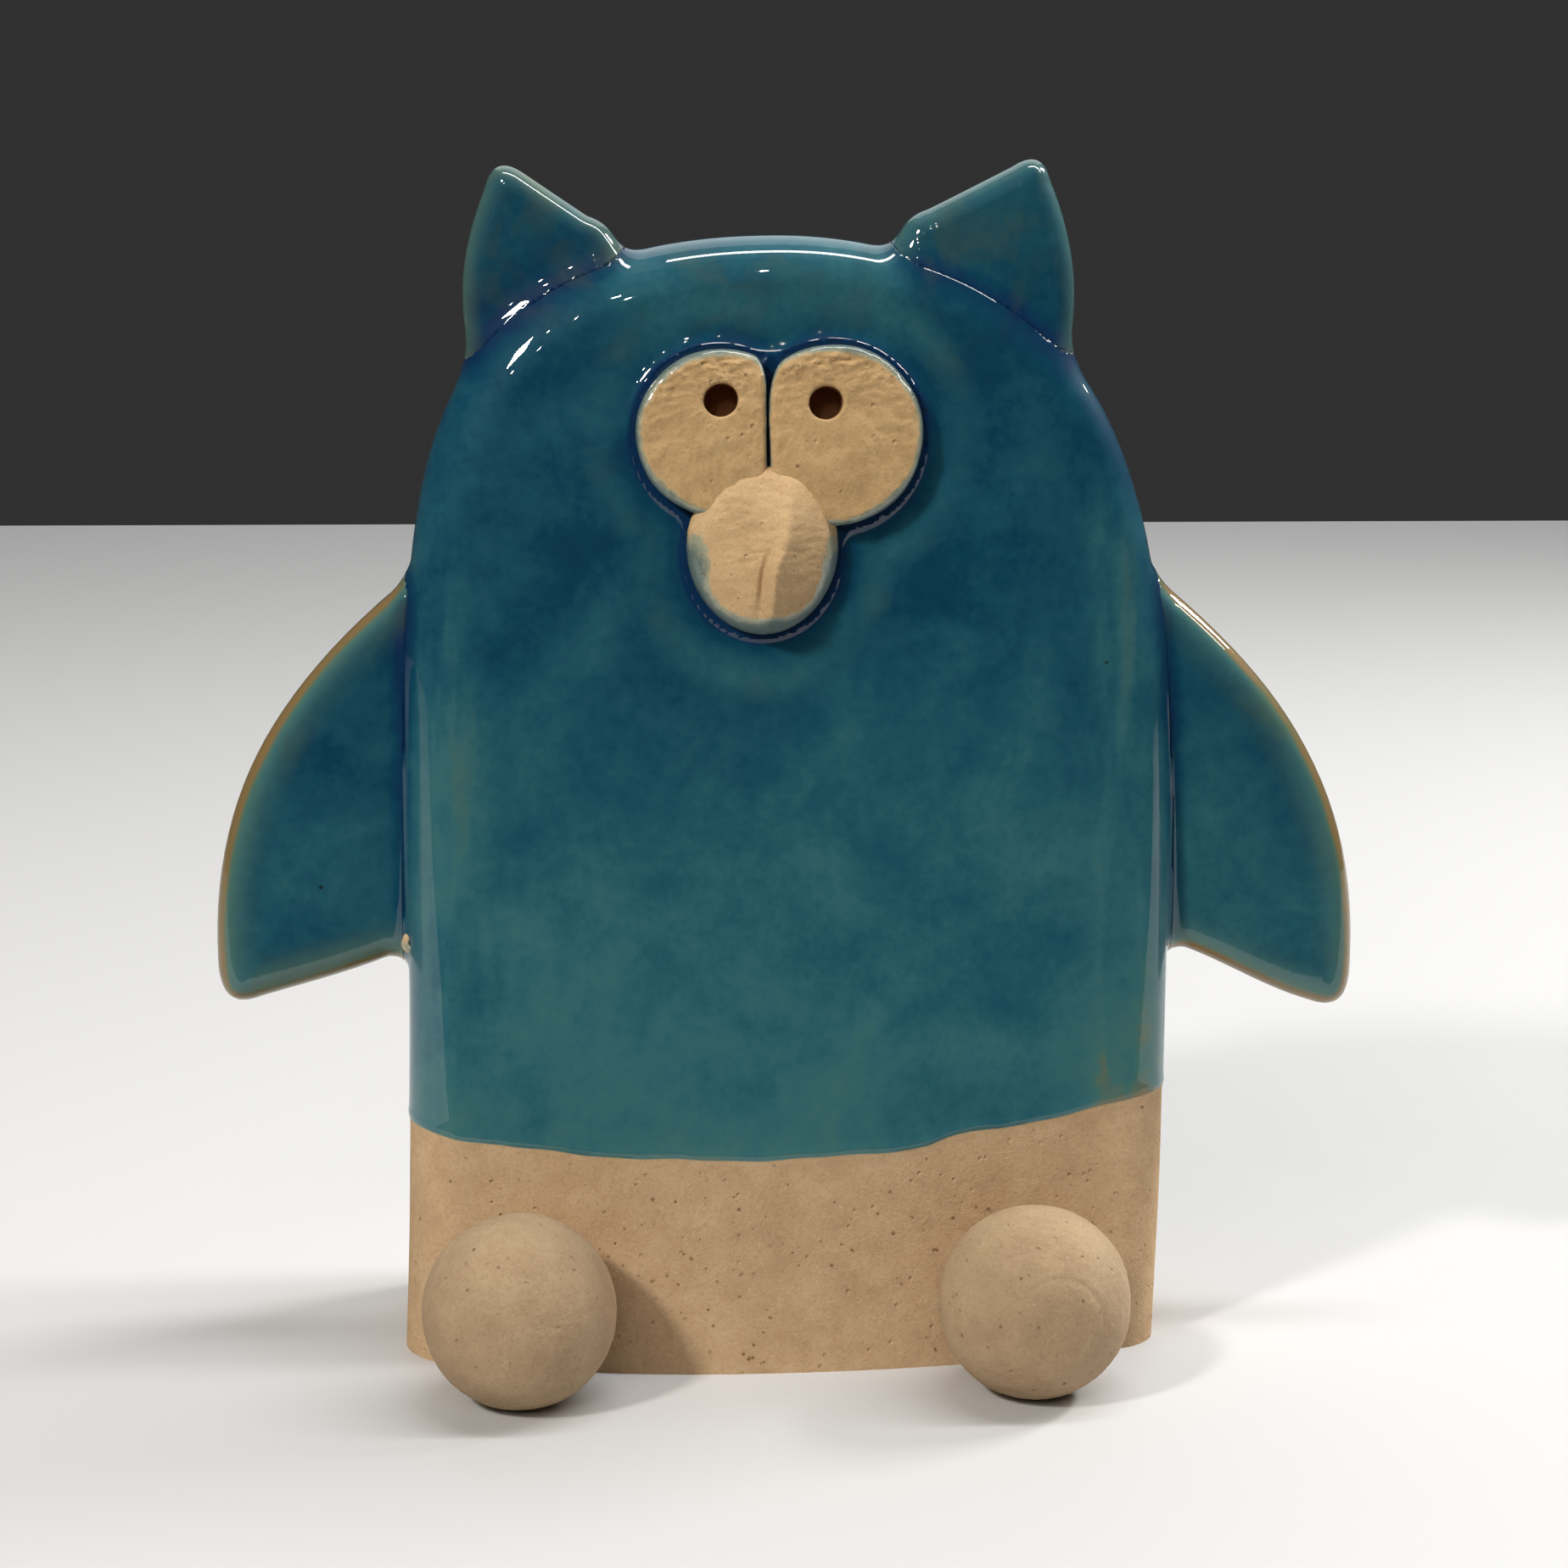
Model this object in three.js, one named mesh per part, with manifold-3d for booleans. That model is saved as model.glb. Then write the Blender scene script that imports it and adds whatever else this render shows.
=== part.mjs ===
// A hand-built stoneware coin bank in the shape of a round-shouldered owl.
// Two curved slabs are joined edge to edge over a slab base; flat ears and wings, two eye discs,
// a pinched beak and two ball feet are luted on, and a rubber stopper closes the emptying hole.
//
// Millimetres. +X is the bank's side that is on the right when it is seen from the front, -Y is
// the front and +Z is up. The origin is the middle of the bounding box, on the ground.
import * as THREE from "three";
import { mergeGeometries, mergeVertices } from "three/addons/utils/BufferGeometryUtils.js";
import Module from "manifold-3d";

const wasm = await Module();
wasm.setup();

// ---------------------------------------------------------------- driving dimensions

// Body: an arch in front view, a wedge from the side, with a soft bulge on both faces.
const bodyHeight = 152;
const bodyHalfWidth = 52.4;
const archSideExponent = 7.2; // how long the sides stay upright
const archCrownExponent = 2.2; // how round the crown is
const swayAtBase = -0.9; // the centre line bows a little, as hand building leaves it
const swayRise = 7.2;
const swayFall = -9.2;
const edgeStripBase = 9.5; // half width of the flat strip that runs round the edge
const edgeStripCrown = 2.5;
const edgeRadius = 6.5; // rounding from the strip to the faces
const edgeRadiusSkew = 1.5; // softer on the left, crisper on the right
const bulgeBase = 8.5;
const bulgeExponent = 1.2;
const wall = 5;
const innerRadius = 1.5; // smallest rounding inside the shell

// Base slab, lapped into the foot of the walls.
const baseThickness = 5;
const baseLap = 1.6;
const baseClearance = 0.3;

// Emptying hole and its rubber stopper.
const holeRadius = 13;
const flangeLip = 3; // the flange reaches this far past the hole
const flangeThickness = 2;
const recessDepth = 2.6; // the flange sits above the ground
const stopperClearance = 0.3;
const stopperPlugHeight = 8;
const stopperPlugTaper = 0.5;
const stopperWall = 3;
const stopperFloor = 2;
const gripWidth = 4;

// Coin slot, across the upper back.
const slotLength = 34;
const slotHeight = 5;
const slotBelowCrown = 46;

// Ears and wings: flat plates with rounded edges.
const plateEdge = 3; // how deep the rounding of an edge goes into the thickness
const plateEdgeInset = 2; // and how far it comes in over the face
const plateEdgeSteps = 3;
const plateCurveSteps = 8;
const earThickness = 9;
const earFront = -7.2; // y of the ears' front face
const wingThickness = 9.5;
const wingShoulderDrop = 46; // crown to the top of the wing root
const wingRootLength = 53;
const plateEmbed = 7; // how far ears and wings reach into the body before they are trimmed

// Face.
const eyeThickness = 3.4;
const eyeEdge = 1.5;
const eyeDome = 0.5;
const eyeSeamX = -2.7; // where the two discs are pressed together
const pupilRadius = 2.4;
const beakHalfWidth = 10.1;
const beakHalfHeight = 10.9;
const beakHalfDepth = 8;
const beakRidge = 1.6;
const beakX = -3.4;
const beakBelowCrown = 41.6;

// Feet.
const footRadius = 12.95;
const footSink = 0.65; // the soft clay ball settled flat on the ground by this much
const footPress = 0.7; // and was pressed into the body by this much
const footInset = 18.3; // from the body's side to the ball's centre

const jointGap = 0.3; // clearance between two pieces that meet on a curved face

const ears = [
  { name: "left_ear", side: -1, inner: 20.2, tip: 36, outer: 41.6 },
  { name: "right_ear", side: 1, inner: 17.2, tip: 35.8, outer: 41.6 },
];
const wings = [
  { name: "left_wing", side: -1, front: -8, reach: 26.4, drop: 58.2 },
  { name: "right_wing", side: 1, front: -6.6, reach: 26.6, drop: 60.4 },
];
const eyes = [
  { name: "left_eye_disc", side: -1, x: -9, radius: 11.1, belowCrown: 26, pupil: [0.1, 4.3] },
  { name: "right_eye_disc", side: 1, x: 6, radius: 11.9, belowCrown: 26.2, pupil: [-1.1, 4.1] },
];
const feet = [
  { name: "left_foot", side: -1, shift: -2 },
  { name: "right_foot", side: 1, shift: -2 },
];

// ---------------------------------------------------------------- materials

const glaze = { color: 0x1d5363, roughness: 0.12, metalness: 0 };
const clay = { color: 0xb9976f, roughness: 0.85, metalness: 0 };
const rubber = { color: 0x26262a, roughness: 0.7, metalness: 0 };

// ---------------------------------------------------------------- solids

// A closed geometry as a manifold-3d solid: only positions, shared vertices merged.
function solid(geometry) {
  const bare = geometry.clone();
  for (const attribute of Object.keys(bare.attributes)) {
    if (attribute !== "position") bare.deleteAttribute(attribute);
  }
  const merged = mergeVertices(bare, 1e-4);
  const index = Array.from(merged.index.array);
  const triVerts = [];
  for (let i = 0; i < index.length; i += 3) {
    const [a, b, c] = index.slice(i, i + 3);
    if (a !== b && b !== c && c !== a) triVerts.push(a, b, c);
  }
  const made = new wasm.Manifold(
    new wasm.Mesh({
      numProp: 3,
      vertProperties: new Float32Array(merged.attributes.position.array),
      triVerts: new Uint32Array(triVerts),
    }),
  );
  return made;
}

function namedMesh(name, made, finish) {
  const { numProp, vertProperties, triVerts } = made.getMesh();
  const positions = new Float32Array((vertProperties.length / numProp) * 3);
  for (let i = 0; i < positions.length / 3; i += 1) {
    positions.set(vertProperties.subarray(i * numProp, i * numProp + 3), i * 3);
  }
  const geometry = new THREE.BufferGeometry();
  geometry.setAttribute("position", new THREE.BufferAttribute(positions, 3));
  geometry.setIndex(new THREE.BufferAttribute(new Uint32Array(triVerts), 1));
  geometry.computeVertexNormals();
  const mesh = new THREE.Mesh(geometry, new THREE.MeshStandardMaterial(finish));
  mesh.name = name;
  return mesh;
}

function block(x0, x1, y0, y1, z0, z1) {
  const geometry = new THREE.BoxGeometry(x1 - x0, y1 - y0, z1 - z0);
  geometry.translate((x0 + x1) / 2, (y0 + y1) / 2, (z0 + z1) / 2);
  return solid(geometry);
}

// A grid of points, rows by columns, as two triangles a cell.
function sheet(rows, columns, pointAt, flipped) {
  const positions = [];
  const index = [];
  for (let r = 0; r <= rows; r += 1) {
    for (let c = 0; c <= columns; c += 1) positions.push(...pointAt(r, c));
  }
  const at = (r, c) => r * (columns + 1) + c;
  for (let r = 0; r < rows; r += 1) {
    for (let c = 0; c < columns; c += 1) {
      const quad = [at(r, c), at(r, c + 1), at(r + 1, c + 1), at(r + 1, c)];
      if (flipped) quad.reverse();
      index.push(quad[0], quad[1], quad[2], quad[0], quad[2], quad[3]);
    }
  }
  const geometry = new THREE.BufferGeometry();
  geometry.setAttribute("position", new THREE.Float32BufferAttribute(positions, 3));
  geometry.setIndex(index);
  return geometry;
}

// ---------------------------------------------------------------- the body's form

const share = (z) => Math.min(Math.max(z / bodyHeight, 0), 1);
const centreX = (z) => swayAtBase + swayRise * share(z) + swayFall * share(z) ** 2;
const halfWidth = (z) =>
  bodyHalfWidth * (1 - share(z) ** archSideExponent) ** (1 / archCrownExponent);
const archHeight = (x) =>
  bodyHeight * (1 - Math.min(Math.abs(x) / bodyHalfWidth, 1) ** archCrownExponent) **
  (1 / archSideExponent);
const across = (x, z) => Math.max(-1, Math.min(1, (x - centreX(z)) / bodyHalfWidth));
const stripAt = (z) => edgeStripBase + (edgeStripCrown - edgeStripBase) * share(z);
const radiusAt = (x, z) => edgeRadius - edgeRadiusSkew * across(x, z);
const bulgeAt = (x, z) =>
  bulgeBase * (1 - share(z) ** bulgeExponent) * (1 - across(x, z) ** 2);

// Distance of the body's face from the mid-plane, well inside the edge.
const faceDepth = (x, z) => stripAt(z) + radiusAt(x, z) + bulgeAt(x, z);

// The arch from the foot of the left side, over the crown, to the foot of the right side,
// as evenly spaced points, moved inwards by inset.
function archOutline(segments, inset, floor) {
  const fine = 1000; // points on each half of the curve before it is evened out
  const curve = [];
  for (let i = -fine; i <= fine; i += 1) {
    const turn = (Math.PI / 2) * (1 - Math.abs(i) / fine) ** (archSideExponent / 2);
    const z = bodyHeight * Math.sin(turn) ** (2 / archSideExponent);
    const half = bodyHalfWidth * Math.cos(turn) ** (2 / archCrownExponent);
    curve.push(new THREE.Vector2(centreX(z) + Math.sign(i) * (i === 0 ? 0 : half), z));
  }
  const moved = curve.map((point, i) => {
    const before = curve[Math.max(i - 1, 0)];
    const after = curve[Math.min(i + 1, curve.length - 1)];
    const along = after.clone().sub(before).normalize();
    return new THREE.Vector2(point.x + along.y * inset, point.y - along.x * inset);
  });
  const kept = moved.filter((point) => point.y >= floor);
  if (kept[0].y > floor) kept.unshift(new THREE.Vector2(kept[0].x, floor));
  const last = kept[kept.length - 1];
  if (last.y > floor) kept.push(new THREE.Vector2(last.x, floor));
  const lengths = [0];
  for (let i = 1; i < kept.length; i += 1) {
    lengths.push(lengths[i - 1] + kept[i].distanceTo(kept[i - 1]));
  }
  const total = lengths[lengths.length - 1];
  const even = [];
  let k = 1;
  for (let s = 0; s <= segments; s += 1) {
    const target = (total * s) / segments;
    while (k < kept.length - 1 && lengths[k] < target) k += 1;
    const t = (target - lengths[k - 1]) / (lengths[k] - lengths[k - 1]);
    even.push(kept[k - 1].clone().lerp(kept[k], Math.min(Math.max(t, 0), 1)));
  }
  return even;
}

// The whole pillow of the body, or a copy whose surface is moved inwards by inset
// (outwards where inset is negative).
function pillow({ inset = 0, floor = 0, segments = 44, edgeSteps = 4, rungs = 8 }) {
  const outline = archOutline(segments, inset, floor);
  const half = segments / 2;
  const inward = outline.map((point, i) => {
    const before = outline[Math.max(i - 1, 0)];
    const after = outline[Math.min(i + 1, segments)];
    const along = after.clone().sub(before).normalize();
    const upright = i === 0 || i === segments;
    return upright
      ? new THREE.Vector2(i === 0 ? 1 : -1, 0)
      : new THREE.Vector2(along.y, -along.x);
  });
  const roundAt = (point) => {
    const outer = radiusAt(point.x, point.y);
    const radius = Math.max(outer - inset, innerRadius);
    const strip = Math.max(stripAt(point.y) + outer - inset - radius, 0.5);
    return { radius, strip };
  };
  const ringPoint = (i, step) => {
    const { radius, strip } = roundAt(outline[i]);
    const angle = (Math.PI / 2) * (step / edgeSteps);
    const point = outline[i].clone().addScaledVector(inward[i], radius * (1 - Math.cos(angle)));
    return [point.x, strip + radius * Math.sin(angle) + bulgeAt(point.x, point.y), point.y];
  };
  const columns = 2 * edgeSteps + rungs;
  const facePoint = (row, column) => {
    if (column <= edgeSteps) return ringPoint(row, column);
    if (column >= edgeSteps + rungs) return ringPoint(segments - row, columns - column);
    const left = ringPoint(row, edgeSteps);
    const right = ringPoint(segments - row, edgeSteps);
    const t = (column - edgeSteps) / rungs;
    const x = left[0] + (right[0] - left[0]) * t;
    const z = left[2] + (right[2] - left[2]) * t;
    const leftFlat = left[1] - bulgeAt(left[0], left[2]);
    const rightFlat = right[1] - bulgeAt(right[0], right[2]);
    return [x, leftFlat + (rightFlat - leftFlat) * t + bulgeAt(x, z), z];
  };
  const facing = (sign) => (row, column) => {
    const [x, y, z] = facePoint(row, column);
    return [x, sign * y, z];
  };
  const front = facing(-1);
  const back = facing(1);
  const edge = (sideSign) => (i, column) => {
    const [x, y, z] = ringPoint(i, 0);
    return [x, column === 0 ? -y : y, z];
  };
  return solid(
    mergeGeometries([
      sheet(half, columns, front, false),
      sheet(half, columns, back, true),
      sheet(segments, 1, edge(), true),
      sheet(1, columns, (row, column) => (row === 0 ? back : front)(0, column), false),
    ]),
  );
}

// Tilt of the body's front face at a point, as an outward unit normal.
function frontNormal(x, z) {
  const step = 0.5;
  const slopeX = (faceDepth(x + step, z) - faceDepth(x - step, z)) / (2 * step);
  const slopeZ = (faceDepth(x, z + step) - faceDepth(x, z - step)) / (2 * step);
  return new THREE.Vector3(-slopeX, -1, -slopeZ).normalize();
}

// ---------------------------------------------------------------- shells, base and stopper

const beyond = bodyHeight + bodyHalfWidth * 2; // far outside every piece
const below = -2; // cuts that open downwards start under the ground
const gapPillow = pillow({ inset: -jointGap });
const underGround = block(-beyond, beyond, -beyond, beyond, -beyond, 0);

function shells() {
  const outer = pillow({});
  const cavity = pillow({ inset: wall, floor: below, edgeSteps: 2 });
  const foot = block(-beyond, beyond, -beyond, beyond, below, baseThickness);
  const lap = pillow({ inset: wall - baseLap, floor: below }).intersect(foot);
  const hollow = outer.subtract(cavity).subtract(lap);
  const front = hollow.intersect(block(-beyond, beyond, -beyond, 0, below, beyond));
  const back = hollow.intersect(block(-beyond, beyond, 0, beyond, below, beyond));
  return { front, back: back.subtract(coinSlot()) };
}

// A slot with round ends, cut straight through the back wall.
function coinSlot() {
  const reach = slotLength / 2 - slotHeight / 2;
  const shape = new THREE.Shape();
  shape.absarc(reach, 0, slotHeight / 2, -Math.PI / 2, Math.PI / 2);
  shape.absarc(-reach, 0, slotHeight / 2, Math.PI / 2, (3 * Math.PI) / 2);
  const z = bodyHeight - slotBelowCrown;
  const depth = faceDepth(centreX(z), z) + wall;
  const geometry = new THREE.ExtrudeGeometry(shape, { depth, bevelEnabled: false, curveSegments: 8 });
  geometry.rotateX(Math.PI / 2);
  geometry.translate(centreX(z), depth + edgeStripCrown / 2, z);
  return solid(geometry);
}

const flangeRadius = holeRadius + flangeLip;

// A piece turned round the vertical axis from half a profile of [radius, height] points.
function turned(profile, segments) {
  const points = profile.map(([r, z]) => new THREE.Vector2(r, z));
  const geometry = new THREE.LatheGeometry(points, segments);
  geometry.rotateX(Math.PI / 2);
  return geometry;
}

function baseSlab() {
  const slab = pillow({ inset: wall - baseLap + baseClearance }).intersect(
    block(-beyond, beyond, -beyond, beyond, 0, baseThickness),
  );
  const recessRadius = flangeRadius + stopperClearance;
  const hole = turned(
    [
      [0, below],
      [recessRadius, below],
      [recessRadius, recessDepth],
      [holeRadius, recessDepth],
      [holeRadius, baseThickness + 1],
      [0, baseThickness + 1],
    ],
    40,
  );
  hole.translate(swayAtBase, 0, 0);
  return slab.subtract(solid(hole));
}

// A soft plug: a flange that lies in the recess, and a cup that opens downwards with a grip bar.
function stopper() {
  const flangeTop = recessDepth;
  const flangeBottom = recessDepth - flangeThickness;
  const neck = holeRadius - stopperClearance;
  const top = flangeTop + stopperPlugHeight;
  const cup = solid(
    turned(
      [
        [0, flangeBottom + stopperPlugHeight],
        [neck - stopperWall - stopperPlugTaper, flangeBottom + stopperPlugHeight],
        [neck - stopperWall, flangeBottom],
        [flangeRadius, flangeBottom],
        [flangeRadius, flangeTop],
        [neck, flangeTop],
        [neck - stopperPlugTaper, top - 1],
        [neck - stopperPlugTaper - 1, top],
        [0, top],
      ],
      40,
    ).translate(swayAtBase, 0, 0),
  );
  const reach = neck - stopperWall + 1;
  const grip = block(
    swayAtBase - reach,
    swayAtBase + reach,
    -gripWidth / 2,
    gripWidth / 2,
    flangeBottom,
    top - stopperFloor,
  );
  return cup.add(grip);
}

// ---------------------------------------------------------------- ears and wings

// A flat plate with rounded edges, drawn in front view, with its front face at y = front.
// Rings of the outline, drawn in towards each face, are skinned and capped.
function plate(shape, front, thickness) {
  const outline = shape.getPoints(plateCurveSteps);
  if (outline[0].distanceTo(outline[outline.length - 1]) < 1e-6) outline.pop();
  if (THREE.ShapeUtils.isClockWise(outline)) outline.reverse();
  const count = outline.length;
  const inward = outline.map((point, i) => {
    const before = outline[(i + count - 1) % count];
    const after = outline[(i + 1) % count];
    const into = point.clone().sub(before).normalize();
    const away = after.clone().sub(point).normalize();
    const along = into.add(away).normalize();
    return new THREE.Vector2(-along.y, along.x);
  });
  const rings = [];
  for (let step = 0; step <= plateEdgeSteps; step += 1) {
    const angle = (Math.PI / 2) * (step / plateEdgeSteps);
    const inset = plateEdgeInset * (1 - Math.sin(angle));
    rings.push({ inset, y: front + plateEdge * (1 - Math.cos(angle)) });
  }
  for (const { inset, y } of [...rings].reverse()) {
    rings.push({ inset, y: 2 * front + thickness - y });
  }
  const ringPoints = rings.map(({ inset, y }) =>
    outline.map((point, i) => {
      const moved = point.clone().addScaledVector(inward[i], inset);
      return [moved.x, y, moved.y];
    }),
  );
  const side = sheet(rings.length - 1, count, (r, c) => ringPoints[r][c % count], true);
  const faces = THREE.ShapeUtils.triangulateShape(outline, []);
  const cap = (points, flipped) => {
    const geometry = new THREE.BufferGeometry();
    geometry.setAttribute("position", new THREE.Float32BufferAttribute(points.flat(), 3));
    geometry.setIndex(faces.flatMap(([a, b, c]) => (flipped ? [a, c, b] : [a, b, c])));
    return geometry;
  };
  const backPoints = ringPoints[ringPoints.length - 1];
  return solid(mergeGeometries([side, cap(ringPoints[0], false), cap(backPoints, true)])).subtract(
    gapPillow,
  );
}

// One ear in front view: a bent triangle whose foot is buried in the crown.
function earShape({ side, inner, tip, outer }) {
  const middle = swayAtBase + swayRise + swayFall + 0.8;
  const x = (distance) => middle + side * distance;
  const innerZ = archHeight(inner);
  const outerZ = archHeight(outer);
  const shape = new THREE.Shape();
  shape.moveTo(x(inner - 1), innerZ - plateEmbed);
  shape.lineTo(x(inner), innerZ + 1);
  shape.quadraticCurveTo(x(inner + 0.6), innerZ + 4.4, x(inner + 4), innerZ + 5.4);
  shape.lineTo(x(tip - 3.4), innerZ + 11);
  shape.quadraticCurveTo(x(tip + 0.8), innerZ + 13.8, x(tip + 2), innerZ + 9);
  shape.bezierCurveTo(x(outer - 1.6), innerZ + 4, x(outer + 0.6), outerZ + 13, x(outer - 0.8), outerZ + 5);
  shape.lineTo(x(outer - 3), outerZ - plateEmbed);
  return shape;
}

// One wing in front view: a full curve from the shoulder to the tip and a straighter underside.
function wingShape({ side, reach, drop }) {
  const top = bodyHeight - wingShoulderDrop;
  const foot = top - wingRootLength;
  const tipZ = top - drop;
  const sideX = (z) => centreX(z) + side * halfWidth(z);
  const x = (z, distance) => sideX(z) + side * distance;
  const tipX = x(tipZ, reach);
  const shape = new THREE.Shape();
  shape.moveTo(x(top, -plateEmbed), top + 1);
  shape.lineTo(x(top, 0), top + 0.4);
  shape.bezierCurveTo(x(top, 19.8), top - 15, tipX + side * 0.5, top - 31, tipX, tipZ + 6);
  shape.quadraticCurveTo(tipX, tipZ - 1.8, tipX - side * 6, tipZ + 0.6);
  shape.bezierCurveTo(tipX - side * 12, tipZ + 2.4, x(foot, 9), foot - 1.5, x(foot, 3), foot + 0.8);
  shape.lineTo(x(foot, -plateEmbed), foot + 1.6);
  return shape;
}

// ---------------------------------------------------------------- face

// Turns a piece made round +Z, with its foot at the origin, to stand on the front at (x, z).
function standOnFront(geometry, x, z) {
  const turn = new THREE.Quaternion().setFromUnitVectors(
    new THREE.Vector3(0, 0, 1),
    frontNormal(x, z),
  );
  geometry.applyQuaternion(turn);
  geometry.translate(x, -faceDepth(x, z), z);
  return geometry;
}

function discSolid(eye, grow) {
  const { x, radius } = eye;
  const z = bodyHeight - eye.belowCrown;
  const rim = [];
  for (let step = 0; step <= 3; step += 1) {
    const angle = (Math.PI / 2) * (step / 3);
    rim.push([
      radius - eyeEdge + (eyeEdge + grow) * Math.cos(angle),
      eyeThickness - eyeEdge + (eyeEdge + grow) * Math.sin(angle),
    ]);
  }
  const profile = [
    [0, -wall],
    [radius + grow, -wall],
    ...rim,
    [radius / 2, eyeThickness + grow + eyeDome * 0.8],
    [0, eyeThickness + grow + eyeDome],
  ];
  return solid(standOnFront(turned(profile, 40), x, z));
}

function eyeDisc(eye) {
  const z = bodyHeight - eye.belowCrown;
  const inner = eyeSeamX + (eye.side * jointGap) / 2;
  const beyondSeam =
    eye.side < 0
      ? block(inner, beyond, -beyond, beyond, -beyond, beyond)
      : block(-beyond, inner, -beyond, beyond, -beyond, beyond);
  const pupil = new THREE.CylinderGeometry(pupilRadius, pupilRadius, 6 * wall, 24);
  pupil.rotateX(Math.PI / 2);
  const [pupilX, pupilZ] = [eye.x + eye.pupil[0], z + eye.pupil[1]];
  return discSolid(eye, 0)
    .subtract(gapPillow)
    .subtract(beyondSeam)
    .subtract(solid(standOnFront(pupil, pupilX, pupilZ)));
}

// A ball of clay pressed flat against the face and pinched to a ridge down its middle.
function beak() {
  const z = bodyHeight - beakBelowCrown;
  const geometry = new THREE.SphereGeometry(1, 28, 18);
  geometry.scale(beakHalfWidth, beakHalfDepth, beakHalfHeight);
  const points = geometry.getAttribute("position");
  for (let i = 0; i < points.count; i += 1) {
    const y = points.getY(i);
    const facing = Math.max(-y / beakHalfDepth, 0);
    const ridge = Math.exp(-((points.getX(i) / (beakHalfWidth * 0.3)) ** 2));
    points.setY(i, y - beakRidge * ridge * facing ** 2);
  }
  geometry.translate(beakX, -faceDepth(beakX, z), z);
  return eyes.reduce(
    (made, eye) => made.subtract(discSolid(eye, jointGap)),
    solid(geometry).subtract(gapPillow),
  );
}

// ---------------------------------------------------------------- feet

function foot({ side, shift }) {
  const x = side * (bodyHalfWidth - footInset) + shift;
  const z = footRadius - footSink;
  const geometry = new THREE.SphereGeometry(footRadius, 28, 16);
  geometry.rotateX(Math.PI / 2);
  geometry.translate(x, -(faceDepth(x, z) + footRadius - footPress), z);
  return solid(geometry).subtract(gapPillow).subtract(underGround);
}

// ---------------------------------------------------------------- assembly

const bank = new THREE.Group();
const { front, back } = shells();
bank.add(namedMesh("front_shell", front, glaze));
bank.add(namedMesh("back_shell", back, glaze));
bank.add(namedMesh("base_slab", baseSlab(), clay));
bank.add(namedMesh("stopper", stopper(), rubber));
for (const ear of ears) {
  bank.add(namedMesh(ear.name, plate(earShape(ear), earFront, earThickness), glaze));
}
for (const wing of wings) {
  bank.add(namedMesh(wing.name, plate(wingShape(wing), wing.front, wingThickness), glaze));
}
for (const eye of eyes) bank.add(namedMesh(eye.name, eyeDisc(eye), clay));
bank.add(namedMesh("beak", beak(), clay));
for (const ball of feet) bank.add(namedMesh(ball.name, foot(ball), clay));

// The middle of the bounding box goes to the origin, with the ground at z = 0.
const bounds = new THREE.Box3().setFromObject(bank);
const middle = bounds.getCenter(new THREE.Vector3());
bank.position.set(-middle.x, -middle.y, 0);

const group = new THREE.Group();
group.add(bank);
export default group;
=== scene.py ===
import math
from functools import partial

import bmesh
import bpy
import numpy as np
from mathutils import Matrix, Vector, noise


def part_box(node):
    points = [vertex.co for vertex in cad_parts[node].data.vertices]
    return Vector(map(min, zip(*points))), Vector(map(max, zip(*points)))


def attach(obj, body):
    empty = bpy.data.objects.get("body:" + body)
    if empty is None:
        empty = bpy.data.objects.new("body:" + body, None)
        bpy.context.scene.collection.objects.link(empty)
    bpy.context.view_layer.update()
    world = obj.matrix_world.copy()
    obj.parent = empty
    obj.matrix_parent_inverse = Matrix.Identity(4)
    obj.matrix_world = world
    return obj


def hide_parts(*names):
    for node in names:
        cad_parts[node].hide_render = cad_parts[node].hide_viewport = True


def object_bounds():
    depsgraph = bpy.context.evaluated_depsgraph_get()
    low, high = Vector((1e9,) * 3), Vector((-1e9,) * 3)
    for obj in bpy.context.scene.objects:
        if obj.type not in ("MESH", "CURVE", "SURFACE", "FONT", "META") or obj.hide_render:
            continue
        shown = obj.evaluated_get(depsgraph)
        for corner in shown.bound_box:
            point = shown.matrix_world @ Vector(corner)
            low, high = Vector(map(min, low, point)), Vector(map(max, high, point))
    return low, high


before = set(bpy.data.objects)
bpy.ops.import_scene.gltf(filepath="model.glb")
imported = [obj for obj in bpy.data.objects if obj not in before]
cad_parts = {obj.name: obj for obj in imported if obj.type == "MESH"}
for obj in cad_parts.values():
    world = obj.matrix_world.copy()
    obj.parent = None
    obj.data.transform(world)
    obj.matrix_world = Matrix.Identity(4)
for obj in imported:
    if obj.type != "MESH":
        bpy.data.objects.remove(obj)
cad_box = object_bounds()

# A hand-built stoneware owl coin bank: two curved slabs, flat ears and wings, two eye discs, a pinched beak
# and two ball feet, teal glaze over a bare clay band, and a rubber stopper underneath.
#
# Every shape is worked out in millimetres with the joint between the two slabs at y = 0, the front at -y and
# the ground at z = 0. new_mesh and put_points move it to the frame's place and to metres.

MM = 0.001
BANK = "bank"
STOPPER = "stopper"

# --------------- sizes of the bank

BODY_HEIGHT = 152.0
BODY_HALF_WIDTH = 52.4
SIDE_POWER = 7.2
CROWN_POWER = 2.2
SWAY = (-0.9, 7.2, -9.2)
STRIP_AT_BASE = 9.5
STRIP_AT_CROWN = 2.5
EDGE_RADIUS = 6.5
EDGE_RADIUS_SKEW = 1.5
BULGE = 8.5
BULGE_POWER = 1.2
BODY_ALLOWANCE = 0.25
GLAZE_THICKNESS = 0.22
WALL = 5.0
LAP_WALL = 3.4
SLAB_THICKNESS = 5.0
SLAB_INSET = 3.7

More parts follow.
